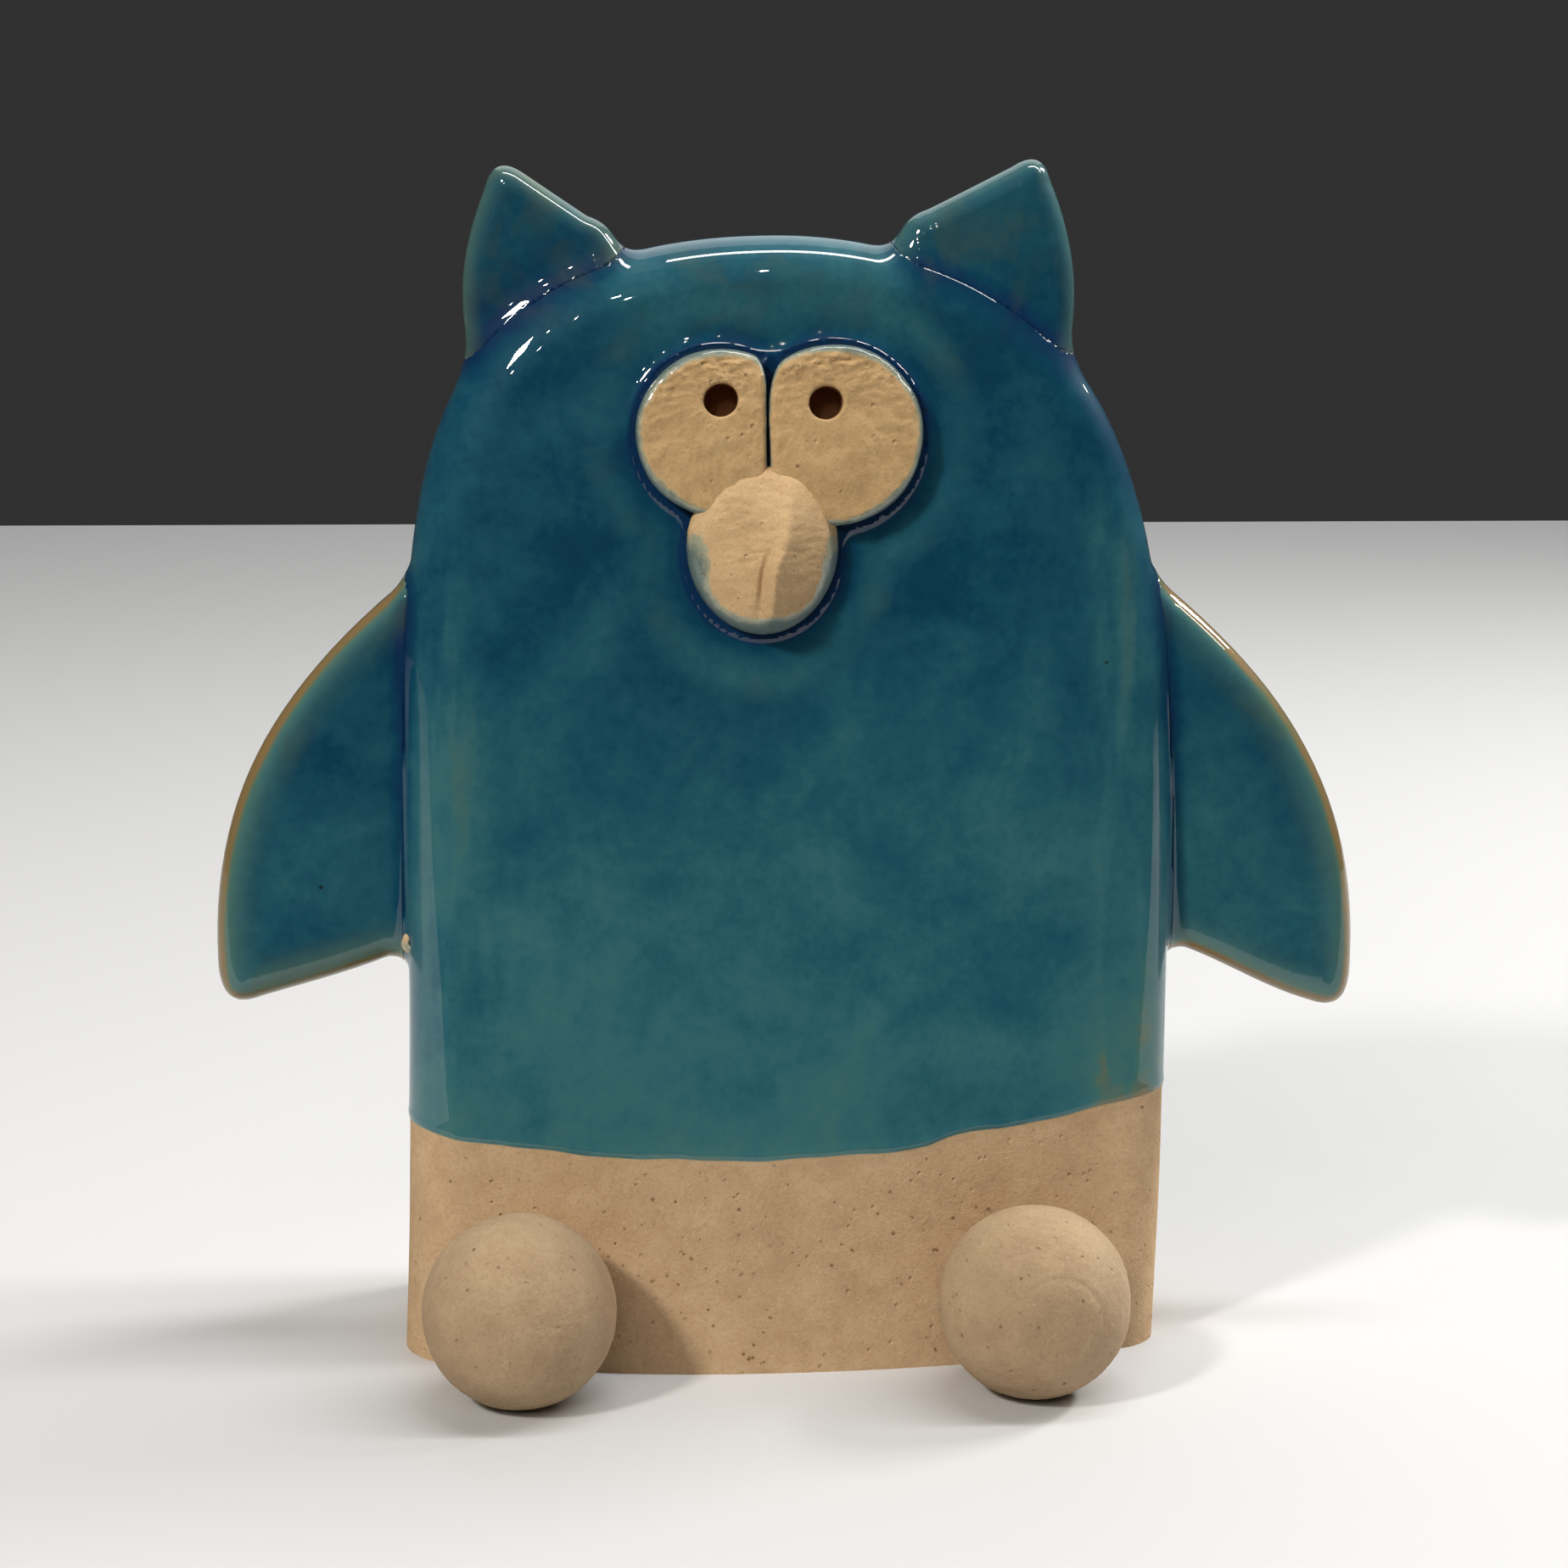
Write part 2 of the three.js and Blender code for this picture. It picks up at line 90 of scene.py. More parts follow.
EAR_MIDDLE = -2.1
EARS = {
    "left_ear": dict(side=-1, inner=20.2, tip=36.0, outer=41.6),
    "right_ear": dict(side=1, inner=17.2, tip=35.8, outer=41.6),
}
WING_TOP = 106.0
WING_FOOT = 53.0
WINGS = {
    "left_wing": dict(side=-1, reach=26.4, drop=58.2),
    "right_wing": dict(side=1, reach=26.6, drop=60.4),
}
# Where each plate's front face is, and how thick it is.
PLATES = {
    "left_ear": (-7.2, 9.0),
    "right_ear": (-7.2, 9.0),
    "left_wing": (-8.0, 9.5),
    "right_wing": (-6.6, 9.5),
}
PLATE_EMBED = 7.0
PLATE_ROUNDING = 3.2
PLATE_ALLOWANCE = 0.1
PLATE_SKIN_SIZE = 0.5
EYE_SEAM = -2.7
EYE_THICKNESS = 3.4
EYE_DOME = 0.5
EYE_ROUNDING = 1.3
EYE_GAP = 0.16
EYE_ROOT = -2.2
PUPIL_RADIUS = 2.4
HOLLOW_DEPTH = 2.4
HOLLOW_AREA = 18.0
EYES = {
    "left_eye_disc": dict(side=-1, x=-9.0, z=126.0, radius=11.1, pupil=(0.1, 4.3)),
    "right_eye_disc": dict(side=1, x=6.0, z=125.8, radius=11.9, pupil=(-1.1, 4.1)),
}
BEAK = dict(x=-3.4, z=110.4, half_width=10.1, half_height=10.9, depth=8.0)
FOOT_RADIUS = 12.95
FOOT_HEIGHT = 12.3
FOOT_PRESS = 0.7
FOOT_FLATTENING = 0.9
FEET = {"left_foot": -36.1, "right_foot": 32.1}
HOLE_RADIUS = 13.0
RECESS_RADIUS = 16.3
RECESS_DEPTH = 2.6
SLOT_HEIGHT_ABOVE_GROUND = 106.0
SLOT_LENGTH = 34.0
SLOT_HEIGHT = 5.0
SLOT_LIP = 1.5

# The frame's own boxes say where the middle plane and the middle of the bank stand.
stopper_low, stopper_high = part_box("stopper")
joint_between_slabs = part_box("front_shell")[1].y
FRAME_SHIFT = np.array([
    (stopper_low.x + stopper_high.x) / 2 / MM - SWAY[0], joint_between_slabs / MM, 0.0,
])


# --------------- the body's form

def share(z):
    return np.clip(z / BODY_HEIGHT, 0.0, 1.0)


def centre_x(z):
    s = share(z)
    return SWAY[0] + SWAY[1] * s + SWAY[2] * s * s


SLOT_MIDDLE = centre_x(SLOT_HEIGHT_ABOVE_GROUND)
SLOT_REACH = (SLOT_LENGTH - SLOT_HEIGHT) / 2


def half_width(z):
    return BODY_HALF_WIDTH * (1 - share(z) ** SIDE_POWER) ** (1 / CROWN_POWER)


def arch_height(x):
    return BODY_HEIGHT * (1 - min(abs(x) / BODY_HALF_WIDTH, 1) ** CROWN_POWER) ** (1 / SIDE_POWER)


def across(x, z):
    return np.clip((x - centre_x(z)) / BODY_HALF_WIDTH, -1.0, 1.0)


def strip_at(z):
    return STRIP_AT_BASE + (STRIP_AT_CROWN - STRIP_AT_BASE) * share(z)


def radius_at(x, z):
    return EDGE_RADIUS - EDGE_RADIUS_SKEW * across(x, z)


def bulge_at(x, z):
    return BULGE * (1 - share(z) ** BULGE_POWER) * (1 - across(x, z) ** 2)


def face_depth(x, z):
    return strip_at(z) + radius_at(x, z) + bulge_at(x, z)


def columns(*parts):
    """Numbers and arrays side by side as coordinates."""
    return np.stack(np.broadcast_arrays(*parts), axis=-1)


def evenly(points, count):
    """The same curve as count + 1 evenly spaced points."""
    lengths = np.concatenate([[0], np.cumsum(np.linalg.norm(np.diff(points, axis=0), axis=1))])
    wanted = np.linspace(0, lengths[-1], count + 1)
    return columns(*[np.interp(wanted, lengths, values) for values in points.T])


def arch_outline(count):
    """Front view of the body, from the foot of the left side over the crown to the right foot."""
    i = np.linspace(-1, 1, 4001)
    turn = math.pi / 2 * (1 - np.abs(i)) ** (SIDE_POWER / 2)
    z = BODY_HEIGHT * np.sin(turn) ** (2 / SIDE_POWER)
    half = BODY_HALF_WIDTH * np.cos(turn) ** (2 / CROWN_POWER)
    half[np.abs(i) < 1e-9] = 0
    return evenly(columns(centre_x(z) + np.sign(i) * half, z), count)


def turns(count):
    """Angles all the way round."""
    return np.linspace(0, 2 * math.pi, count, endpoint=False)


def path(start, *steps):
    """An outline: each step has one control point for a line, or two or three for a curve."""
    points = [start]
    for step in steps:
        a = points[-1]
        if len(step) == 1:
            points.append(step[0])
        elif len(step) == 2:
            b, c = step
            t = np.linspace(0, 1, 11)[1:, None]
            points.extend((1 - t) ** 2 * a + 2 * t * (1 - t) * b + t * t * c)
        else:
            b, c, d = step
            t = np.linspace(0, 1, 25)[1:, None]
            points.extend((1 - t) ** 3 * a + 3 * t * (1 - t) ** 2 * b + 3 * t * t * (1 - t) * c + t ** 3 * d)
    return np.array(points)


def ear_outline(side, inner, tip, outer):
    """Front view of an ear, from inside the body over its tip and back."""
    inner_z, outer_z = arch_height(inner), arch_height(outer)

    def at(d, z):
        return np.array([EAR_MIDDLE + side * d, z])

    return path(
        at(inner - 1, inner_z - 7),
        [at(inner, inner_z + 1)],
        [at(inner + 0.6, inner_z + 4.4), at(inner + 4, inner_z + 5.4)],
        [at(tip - 3.4, inner_z + 11)],
        [at(tip + 0.8, inner_z + 13.8), at(tip + 2, inner_z + 9)],
        [at(outer - 1.6, inner_z + 4), at(outer + 0.6, outer_z + 13), at(outer - 0.8, outer_z + 5)],
        [at(outer - 3, outer_z - PLATE_EMBED)],
    )


def wing_outline(side, reach, drop):
    """Front view of a wing, from inside the body down to its tip and back."""
    def at(z, d, lift=0.0):
        return np.array([centre_x(z) + side * (half_width(z) + d), z + lift])

    tip = at(WING_TOP - drop, reach)

    def by_tip(d, lift):
        return tip + [side * d, lift]

    return path(
        at(WING_TOP, -PLATE_EMBED, 1),
        [at(WING_TOP, 0, 0.4)],
        [at(WING_TOP, 19.8, -15), by_tip(0.5, drop - 31), by_tip(0, 6)],
        [by_tip(0, -1.8), by_tip(-6, 0.6)],
        [by_tip(-12, 2.4), at(WING_FOOT, 9, -1.5), at(WING_FOOT, 3, 0.8)],
        [at(WING_FOOT, -PLATE_EMBED, 1.6)],
    )


class Outline:
    """Distance to a closed outline in the front view, positive inside, smoothly read from a fine grid."""

    step = 0.5

    def __init__(self, points, margin=10.0):
        self.points = points
        self.low = points.min(axis=0) - margin
        counts = np.ceil((points.max(axis=0) + margin - self.low) / self.step).astype(int) + 1
        x, z = np.meshgrid(self.low[0] + self.step * np.arange(counts[0]),
                           self.low[1] + self.step * np.arange(counts[1]))
        nearest = np.full(x.shape, 1e9)
        inside = np.zeros(x.shape, bool)
        for p, q in zip(points, np.roll(points, -1, axis=0)):
            e = q - p
            t = np.clip(((x - p[0]) * e[0] + (z - p[1]) * e[1]) / max(e @ e, 1e-12), 0, 1)
            nearest = np.minimum(nearest, (x - p[0] - t * e[0]) ** 2 + (z - p[1] - t * e[1]) ** 2)
            if p[1] != q[1]:
                crossed = (p[1] > z) != (q[1] > z)
                inside ^= crossed & (x < p[0] + (z - p[1]) * e[0] / e[1])
        self.grid = np.sqrt(nearest) * np.where(inside, 1, -1)

    def __call__(self, x, z):
        rows, columns = self.grid.shape
        u = np.clip((x - self.low[0]) / self.step, 1, columns - 3)
        v = np.clip((z - self.low[1]) / self.step, 1, rows - 3)
        i, j = u.astype(int), v.astype(int)

        def weights(f):
            return (
                ((2 - f) * f - 1) * f / 2,
                ((3 * f - 5) * f * f + 2) / 2,
                ((4 - 3 * f) * f + 1) * f / 2,
                (f - 1) * f * f / 2,
            )

        total = 0
        for b, wv in enumerate(weights(v - j)):
            row = 0
            for a, wu in enumerate(weights(u - i)):
                row = row + wu * self.grid[j + b - 1, i + a - 1]
            total = total + wv * row
        return total


ARCH_STEPS = 570
arch = arch_outline(ARCH_STEPS)
below_ground = np.array([[arch[-1][0], -20.0], [arch[0][0], -20.0]])
body_outline = Outline(np.concatenate([arch, below_ground]))
plate_outlines = {
    **{name: Outline(ear_outline(**shape)) for name, shape in EARS.items()},
    **{name: Outline(wing_outline(**shape)) for name, shape in WINGS.items()},
}


# --------------- distance to each piece's surface

def rounded(inset, depth, radius):
    """Distance to a slab with a rounded rim, from the way in from its rim and the way out of its face."""
    rim, face = radius - inset, depth + radius
    outside = np.hypot(np.maximum(rim, 0), np.maximum(face, 0))
    return outside + np.minimum(np.maximum(rim, face), 0) - radius


def hand_wobble(x, y, z):
    """The slight unevenness that fingers leave in a soft slab."""
    return (
        0.16 * np.sin(x / 13.1 + 0.7) * np.sin(z / 17.3 + 1.9)
        + 0.12 * np.sin(x / 7.3 + z / 11.9 + 0.4) * np.sin(z / 9.1 - y / 23.0)
        + 0.05 * np.sin(x / 4.1 - z / 6.7 + 2.0)
    )


def glaze_line(x, y):
    """Height of the glaze's lower edge: the bank was dipped upside down, a little askew."""
    front = 29.2 + 0.0016 * (x + 8) ** 2 + 1.1 * (0.5 + 0.5 * np.tanh((x - 20) / 1.6))
    front = front + 0.12 * np.sin(x / 3.1) + 0.06 * np.sin(x / 1.3 + 1)
    rear = 33.4 + 0.9 * np.sin(x / 17 + 0.6) + 0.2 * np.sin(x / 2.7)
    blend = np.clip((y + 12) / 24, 0, 1)
    blend = blend * blend * (3 - 2 * blend)
    return front + (rear - front) * blend


def body_distance(p):
    x, y, z = p.T
    inset = body_outline(x, z)
    depth = np.abs(y) - strip_at(z) - bulge_at(x, z) - radius_at(x, z)
    return rounded(inset, depth, radius_at(x, z)) + BODY_ALLOWANCE + hand_wobble(x, y, z) * 0.5


def plate_distance(name, p):
    x, y, z = p.T
    front, thickness = PLATES[name]
    inset = plate_outlines[name](x, z)
    depth = np.abs(y - front - thickness / 2) - thickness / 2
    pillow = 0.5 * np.exp(-np.maximum(inset, 0) / 5.0)
    return rounded(inset, depth + pillow, PLATE_ROUNDING) + PLATE_ALLOWANCE + hand_wobble(x, y, z) * 0.3


def axes_of_face(x, z):
    """Point on the front face, with the directions right, up and outward there."""
    step = 0.5
    slope_x = (face_depth(x + step, z) - face_depth(x - step, z)) / (2 * step)
    slope_z = (face_depth(x, z + step) - face_depth(x, z - step)) / (2 * step)
    outward = np.array([-slope_x, -1.0, -slope_z])
    outward /= np.linalg.norm(outward)
    up = np.array([0, 0, 1.0]) - outward[2] * outward
    up /= np.linalg.norm(up)
    return np.array([x, -face_depth(x, z), z]), np.cross(up, outward), up, outward


def from_face(p, x, z):
    """Points as right, up and outward from a spot on the front face."""
    centre, *axes = axes_of_face(x, z)
    return columns(*[(p - centre) @ axis for axis in axes])


def on_face(local, x, z):
    """The place of points given as right, up and outward from a spot on the front face."""
    centre, right, up, outward = axes_of_face(x, z)
    return centre + local[:, :1] * right + local[:, 1:2] * up + local[:, 2:] * outward


def disc_distance(name, p):
    shape = EYES[name]
    u, v, w = from_face(p, shape["x"], shape["z"]).T
    return rounded(shape["radius"] - np.hypot(u, v), w - EYE_THICKNESS, EYE_ROUNDING)


def beak_distance(p):
    sizes = np.array([BEAK["half_width"], BEAK["half_height"], BEAK["depth"]])
    scaled = from_face(p, BEAK["x"], BEAK["z"]) / sizes
    return (np.linalg.norm(scaled, axis=1) - 1) * sizes[0]


def foot_centre(name):
    x = FEET[name]
    return np.array([x, -(face_depth(x, FOOT_HEIGHT) + FOOT_RADIUS - FOOT_PRESS), FOOT_HEIGHT])


def foot_distance(name, p):
    return np.linalg.norm(p - foot_centre(name), axis=1) - FOOT_RADIUS


FAR = 60.0
NEAR = 12.0
distances = {
    "beak": beak_distance,
    **{name: partial(plate_distance, name) for name in PLATES},
    **{name: partial(disc_distance, name) for name in EYES},
    **{name: partial(foot_distance, name) for name in FEET},
}
boxes = {name: [np.array(corner) / MM - FRAME_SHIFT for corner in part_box(name)] for name in distances}


def distance_to(name, p):
    """Distance to a piece, worked out only near it."""
    low, high = boxes[name]
    near = np.all((p > low - NEAR) & (p < high + NEAR), axis=1)
    result = np.full(len(p), FAR)
    if near.any():
        result[near] = distances[name](p[near])
    return result


# How far the clay and glaze run in the corner between the body and each piece.
COVE = {
    "left_ear": 3.8, "right_ear": 3.8, "left_wing": 3.0, "right_wing": 3.0,
    "left_eye_disc": 3.0, "right_eye_disc": 3.0, "beak": 2.0, "left_foot": 0.8, "right_foot": 0.8,
}


def with_coves(own, others):
    """A surface that runs up into the corner with each neighbour, and dives under it past the middle."""
    result = own
    for other, size in others:
        near = np.maximum(1 - np.abs(own - other) / size, 0)
        result = result - size / 4 * near * near
    return result


def body_surface(p):
    own = body_distance(p)
    x, y, z = p.T
    above = z - glaze_line(x, y)
    glaze_step = GLAZE_THICKNESS * (0.5 + 0.5 * np.tanh(above / 0.35))
    rolled_edge = 0.10 * np.exp(-((above - 0.6) / 0.7) ** 2)
    surface = own - glaze_step - rolled_edge + slot_lip(p) + pupil_hollow(p)
    return with_coves(surface, [(distance_to(name, p), size) for name, size in COVE.items()])


def plate_surface(name):
    def surface(p):
        return with_coves(distances[name](p), [(body_distance(p) - GLAZE_THICKNESS, COVE[name])])
    return surface


def slot_distance(x, z):
    """Distance in the back view from the coin slot's rim, positive outside it."""
    dx = np.abs(x - SLOT_MIDDLE) - SLOT_REACH
    dz = z - SLOT_HEIGHT_ABOVE_GROUND
    return np.hypot(np.maximum(dx, 0), dz) - SLOT_HEIGHT / 2


def slot_lip(p):
    """The slot's rim is rubbed round with a wet finger."""
    x, y, z = p.T
    d = np.clip(slot_distance(x, z), 0, SLOT_LIP)
    drop = SLOT_LIP - np.sqrt(np.maximum(SLOT_LIP ** 2 - (SLOT_LIP - d) ** 2, 0))
    return np.where(y > 0, drop, 0)


def pupil_hollow(p):
    """The pupils were poked through the discs into the soft wall behind."""
    deep = np.zeros(len(p))
    for shape in EYES.values():
        x = p[:, 0] - shape["x"] - shape["pupil"][0]
        z = p[:, 2] - shape["z"] - shape["pupil"][1]
        deep = deep + HOLLOW_DEPTH * np.exp(-((x * x + z * z) / HOLLOW_AREA) ** 2)
    return np.where(p[:, 1] < 0, deep, 0)


def slopes(surface, p, step=0.04):
    """Gradient of a surface's distance at each point."""
    result = np.empty_like(p)
    for k in range(3):
        shift = np.zeros(3)
        shift[k] = step
        result[:, k] = (surface(p + shift) - surface(p - shift)) / (2 * step)
    return result


def settle(p, surface, held=None, rounds=5):
    """Moves points along the slope until they lie on the surface. held is 0 where a coordinate stays."""
    for _ in range(rounds):
        slope = slopes(surface, p)
        if held is not None:
            slope = slope * held
        steepness = np.maximum((slope ** 2).sum(axis=1), 0.05)
        move = -(surface(p) / steepness)[:, None] * slope
        length = np.linalg.norm(move, axis=1)
        p = p + move * np.minimum(1, 1.5 / np.maximum(length, 1e-9))[:, None]
    return p


# --------------- meshes

def unevenness(points, size, depth=2, seed=0.0):
    """Smooth noise from -1 to 1 at each point, with features of the given size in millimetres."""
    shift = Vector((seed * 17.3, seed * 5.1, seed * 9.7))
    return np.array([
        noise.fractal(Vector(p) / size + shift, 1.0, 2.0, depth, noise_basis="PERLIN_ORIGINAL")
        for p in points
    ])


def new_mesh(name, points, faces):
    """A mesh object at the origin, from points in the working frame."""
    mesh = bpy.data.meshes.new(name)
    placed = (np.asarray(points) + FRAME_SHIFT) * MM
    mesh.from_pydata(placed.tolist(), [], [[int(i) for i in face] for face in faces])
    made = bpy.data.objects.new(name, mesh)
    bpy.context.scene.collection.objects.link(made)
    return made


def new_solid(name, points, faces):
    """A closed mesh, with its doubled points joined and every face turned outwards."""
    made = new_mesh(name, points, faces)
    work = bmesh.new()
    work.from_mesh(made.data)
    bmesh.ops.remove_doubles(work, verts=work.verts, dist=1e-7)
    bmesh.ops.dissolve_degenerate(work, edges=work.edges, dist=1e-8)
    bmesh.ops.recalc_face_normals(work, faces=work.faces)
    work.to_mesh(made.data)
    work.free()
    made.data.update()
    return made


def read(collection, what, width=1, kind=float):
    """One property of everything in a mesh's collection, as an array."""
    values = np.empty(len(collection) * width, kind)
    collection.foreach_get(what, values)
    return values.reshape(-1, width) if width > 1 else values


def points_of(made):
    """Points of a finished mesh, back in the working frame."""
    return read(made.data.vertices, "co", 3) / MM - FRAME_SHIFT


def put_points(made, points):
    """Moves a mesh's points, and keeps them inside the model's box."""
    placed = np.clip((points + FRAME_SHIFT) * MM, *np.array(cad_box))
    made.data.vertices.foreach_set("co", placed.ravel())
    made.data.update()


def set_attribute(made, name, values):
    layer = made.data.attributes.new(name, "FLOAT", "POINT")
    layer.data.foreach_set("value", np.asarray(values, np.float32))


def plain_result(made):
    """Turns what the modifiers make into the object's plain mesh."""
    graph = bpy.context.evaluated_depsgraph_get()
    result = bpy.data.meshes.new_from_object(made.evaluated_get(graph))
    made.modifiers.clear()
    made.data = result


def combine(made, other, operation):
    """Cuts the other solid out of a piece, or joins it on, and removes it."""
    change = made.modifiers.new("combine", "BOOLEAN")
    change.operation = operation
    change.solver = "EXACT"
    change.object = other
    plain_result(made)
    bpy.data.objects.remove(other)


def remesh(made, size):
    """Rebuilds a solid's skin as even quads of the given size in millimetres."""
    change = made.modifiers.new("even_skin", "REMESH")
    change.mode = "VOXEL"
    change.voxel_size = size * MM
    plain_result(made)


def ball(subdivisions):
    """Directions to the points of a fine ball, and its faces."""
    work = bmesh.new()
    bmesh.ops.create_icosphere(work, subdivisions=subdivisions, radius=1.0)
    directions = np.array([v.co[:] for v in work.verts])
    faces = [[v.index for v in f.verts] for f in work.faces]
    work.free()
    return directions, faces


def soft_shading(made, degrees=40):
    made.data.shade_smooth()
    made.data.set_sharp_from_angle(angle=math.radians(degrees))


def exact_shading(made, surface, where):
    """Shades with the true surface's direction where asked, and keeps the corners that the mesh has."""
    mesh = made.data
    slope = slopes(surface, points_of(made))
    slope /= np.maximum(np.linalg.norm(slope, axis=1), 1e-9)[:, None]
    corners = read(mesh.loops, "vertex_index", kind=int)
    sizes = read(mesh.polygons, "loop_total", kind=int)
    face_normals = np.repeat(read(mesh.polygons, "normal", 3), sizes, axis=0)
    soft_shading(made)
    exact = slope[corners]
    agrees = where[corners] & ((exact * face_normals).sum(axis=1) > 0.8)
    chosen = np.where(agrees[:, None], exact, read(mesh.corner_normals, "vector", 3))
    mesh.normals_split_custom_set(chosen.tolist())


def piece(made, material, body=BANK, nodes=()):
    """Finishes a piece: its material, the body it rides on and the nodes it stands for."""
    made.data.materials.clear()
    made.data.materials.append(material)
    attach(made, body)
    if nodes:
        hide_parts(*nodes)
    return made


def loft(rings, closed=False):
    """Skins a stack of rings with the same number of points; a ring of one point is a pole."""
    points, starts, faces = [], [], []
    for ring in rings:
        starts.append(sum(len(r) for r in points))
        points.append(np.atleast_2d(ring))
    pairs = list(zip(range(len(rings) - 1), range(1, len(rings))))
    if closed:
        pairs.append((len(rings) - 1, 0))
    for a, b in pairs:
        count = max(len(points[a]), len(points[b]))
        for i in range(count):
            j = (i + 1) % count
            lower = [starts[a]] if len(points[a]) == 1 else [starts[a] + i, starts[a] + j]
            upper = [starts[b]] if len(points[b]) == 1 else [starts[b] + j, starts[b] + i]
            faces.append(lower + upper)
    return np.concatenate(points), faces


def capped_loft(rings):
    """A loft with a fan of faces over its first and last rings."""
    return loft([rings[0].mean(axis=0), *rings, rings[-1].mean(axis=0)])


def level_ring(reach, z, count):
    """A level ring of points round the middle of the base."""
    angle = turns(count)
    return columns(SWAY[0] + reach * np.cos(angle), reach * np.sin(angle), z)


def grid_faces(ids):
    """The quads between the points of a grid, from the points' numbers."""
    return np.stack([ids[:-1, :-1], ids[:-1, 1:], ids[1:, 1:], ids[1:, :-1]], axis=-1).reshape(-1, 4)


# --------------- shader maths

def linear(red, green, blue):
    """An sRGB colour, 0 to 255, as the shader's linear colour."""
    parts = []
    for value in (red, green, blue):
        v = value / 255
        parts.append(v / 12.92 if v <= 0.04045 else ((v + 0.055) / 1.055) ** 2.4)
    return (*parts, 1.0)


def plug(tree, socket, value):
    """Links a socket to another node's value, or gives it a plain one."""
    if isinstance(value, Value):
        value = value.socket
    if isinstance(value, bpy.types.NodeSocket):
        tree.links.new(value, socket)
    else:
        socket.default_value = value


def add_node(tree, kind, sockets, **settings):
    made = tree.nodes.new(kind)
    for key, value in settings.items():
        setattr(made, key, value)
    for key, value in sockets.items():
        plug(tree, made.inputs[key], value)
    return made


class Value:
    """One number in a material. Arithmetic on it adds Math nodes."""

    def __init__(self, recipe, socket):
        self.recipe = recipe
        self.socket = socket

    def maths(self, operation, *others):
        return self.recipe.node("ShaderNodeMath", dict(enumerate(others)), operation=operation)

    def __add__(self, other):
        return self.maths("ADD", self, other)

    def __sub__(self, other):
        return self.maths("SUBTRACT", self, other)

    def __rsub__(self, other):
        return self.maths("SUBTRACT", other, self)

    def __mul__(self, other):
        return self.maths("MULTIPLY", self, other)

    def __abs__(self):
        return self.maths("ABSOLUTE", self)

    __radd__ = __add__
    __rmul__ = __mul__

    def at_least(self, other):
        return self.maths("MAXIMUM", self, other)

    def fade(self, low, high):
        """0 at low, 1 at high, with a soft start and end."""
        sockets = {"Value": self, "From Min": low, "From Max": high}
        return self.recipe.node("ShaderNodeMapRange", sockets, interpolation_type="SMOOTHSTEP")

    def bell(self, middle, width):
        """1 at middle, falling to 0 width away on both sides."""
        return 1 - abs(self - middle).fade(0, width)


class Recipe:
    """A material under construction."""

    def __init__(self, name):
        self.material = bpy.data.materials.new(name)
        self.material.use_nodes = True
        self.tree = self.material.node_tree
        self.shader = self.tree.nodes["Principled BSDF"]
        self.place = self.node("ShaderNodeTexCoord", {}, "Object")

    def node(self, kind, sockets, output=0, **settings):
        return Value(self, add_node(self.tree, kind, sockets, **settings).outputs[output])

    def finish(self, **inputs):
        for name, value in inputs.items():
            plug(self.tree, self.shader.inputs[name.replace("_", " ")], value)
        return self.material

    def attribute(self, name):
        return self.node("ShaderNodeAttribute", {}, "Fac", attribute_name=name)

    def height_above_ground(self):
        """Height of a point in millimetres."""
        return self.node("ShaderNodeSeparateXYZ", {"Vector": self.place}, "Z") * (1 / MM)

    def moved(self, shift, stretch=(1, 1, 1)):
        return self.node("ShaderNodeMapping", {"Vector": self.place, "Location": shift, "Scale": stretch})

    def mottle(self, size, detail=2, rough=0.5, shift=(0, 0, 0), stretch=(1, 1, 1), distortion=0.0):
        """Cloudy noise from 0 to 1 with patches about size millimetres wide."""
        return self.node("ShaderNodeTexNoise", {
            "Vector": self.moved(shift, stretch), "Scale": 1 / (size * MM), "Detail": detail,
            "Roughness": rough, "Distortion": distortion,
        })

    def cells(self, size, shift):
        """Distance to scattered points about size millimetres apart, in units of that size."""
        return self.node("ShaderNodeTexVoronoi", {
            "Vector": self.moved(shift), "Scale": 1 / (size * MM), "Randomness": 1.0,
        }, "Distance")

    def blend(self, factor, a, b, how="MIX"):
        """Colour a where the factor is 0 and colour b where it is 1."""
        return self.node("ShaderNodeMix", {0: factor, 6: a, 7: b}, 2, data_type="RGBA", blend_type=how)

    def ramp(self, value, stops):
        """A colour read along straight steps between the stops."""
        made = self.tree.nodes.new("ShaderNodeValToRGB")
        elements = made.color_ramp.elements
        while len(elements) < len(stops):
            elements.new(0.5)
        for element, (position, colour) in zip(elements, stops):
            element.position = position
            element.color = colour
        plug(self.tree, made.inputs[0], value)
        return Value(self, made.outputs[0])

    def bump(self, height, depth):
        """Relief of the given depth in millimetres."""
        return self.node("ShaderNodeBump", {"Height": height, "Distance": depth * MM, "Strength": 1.0})


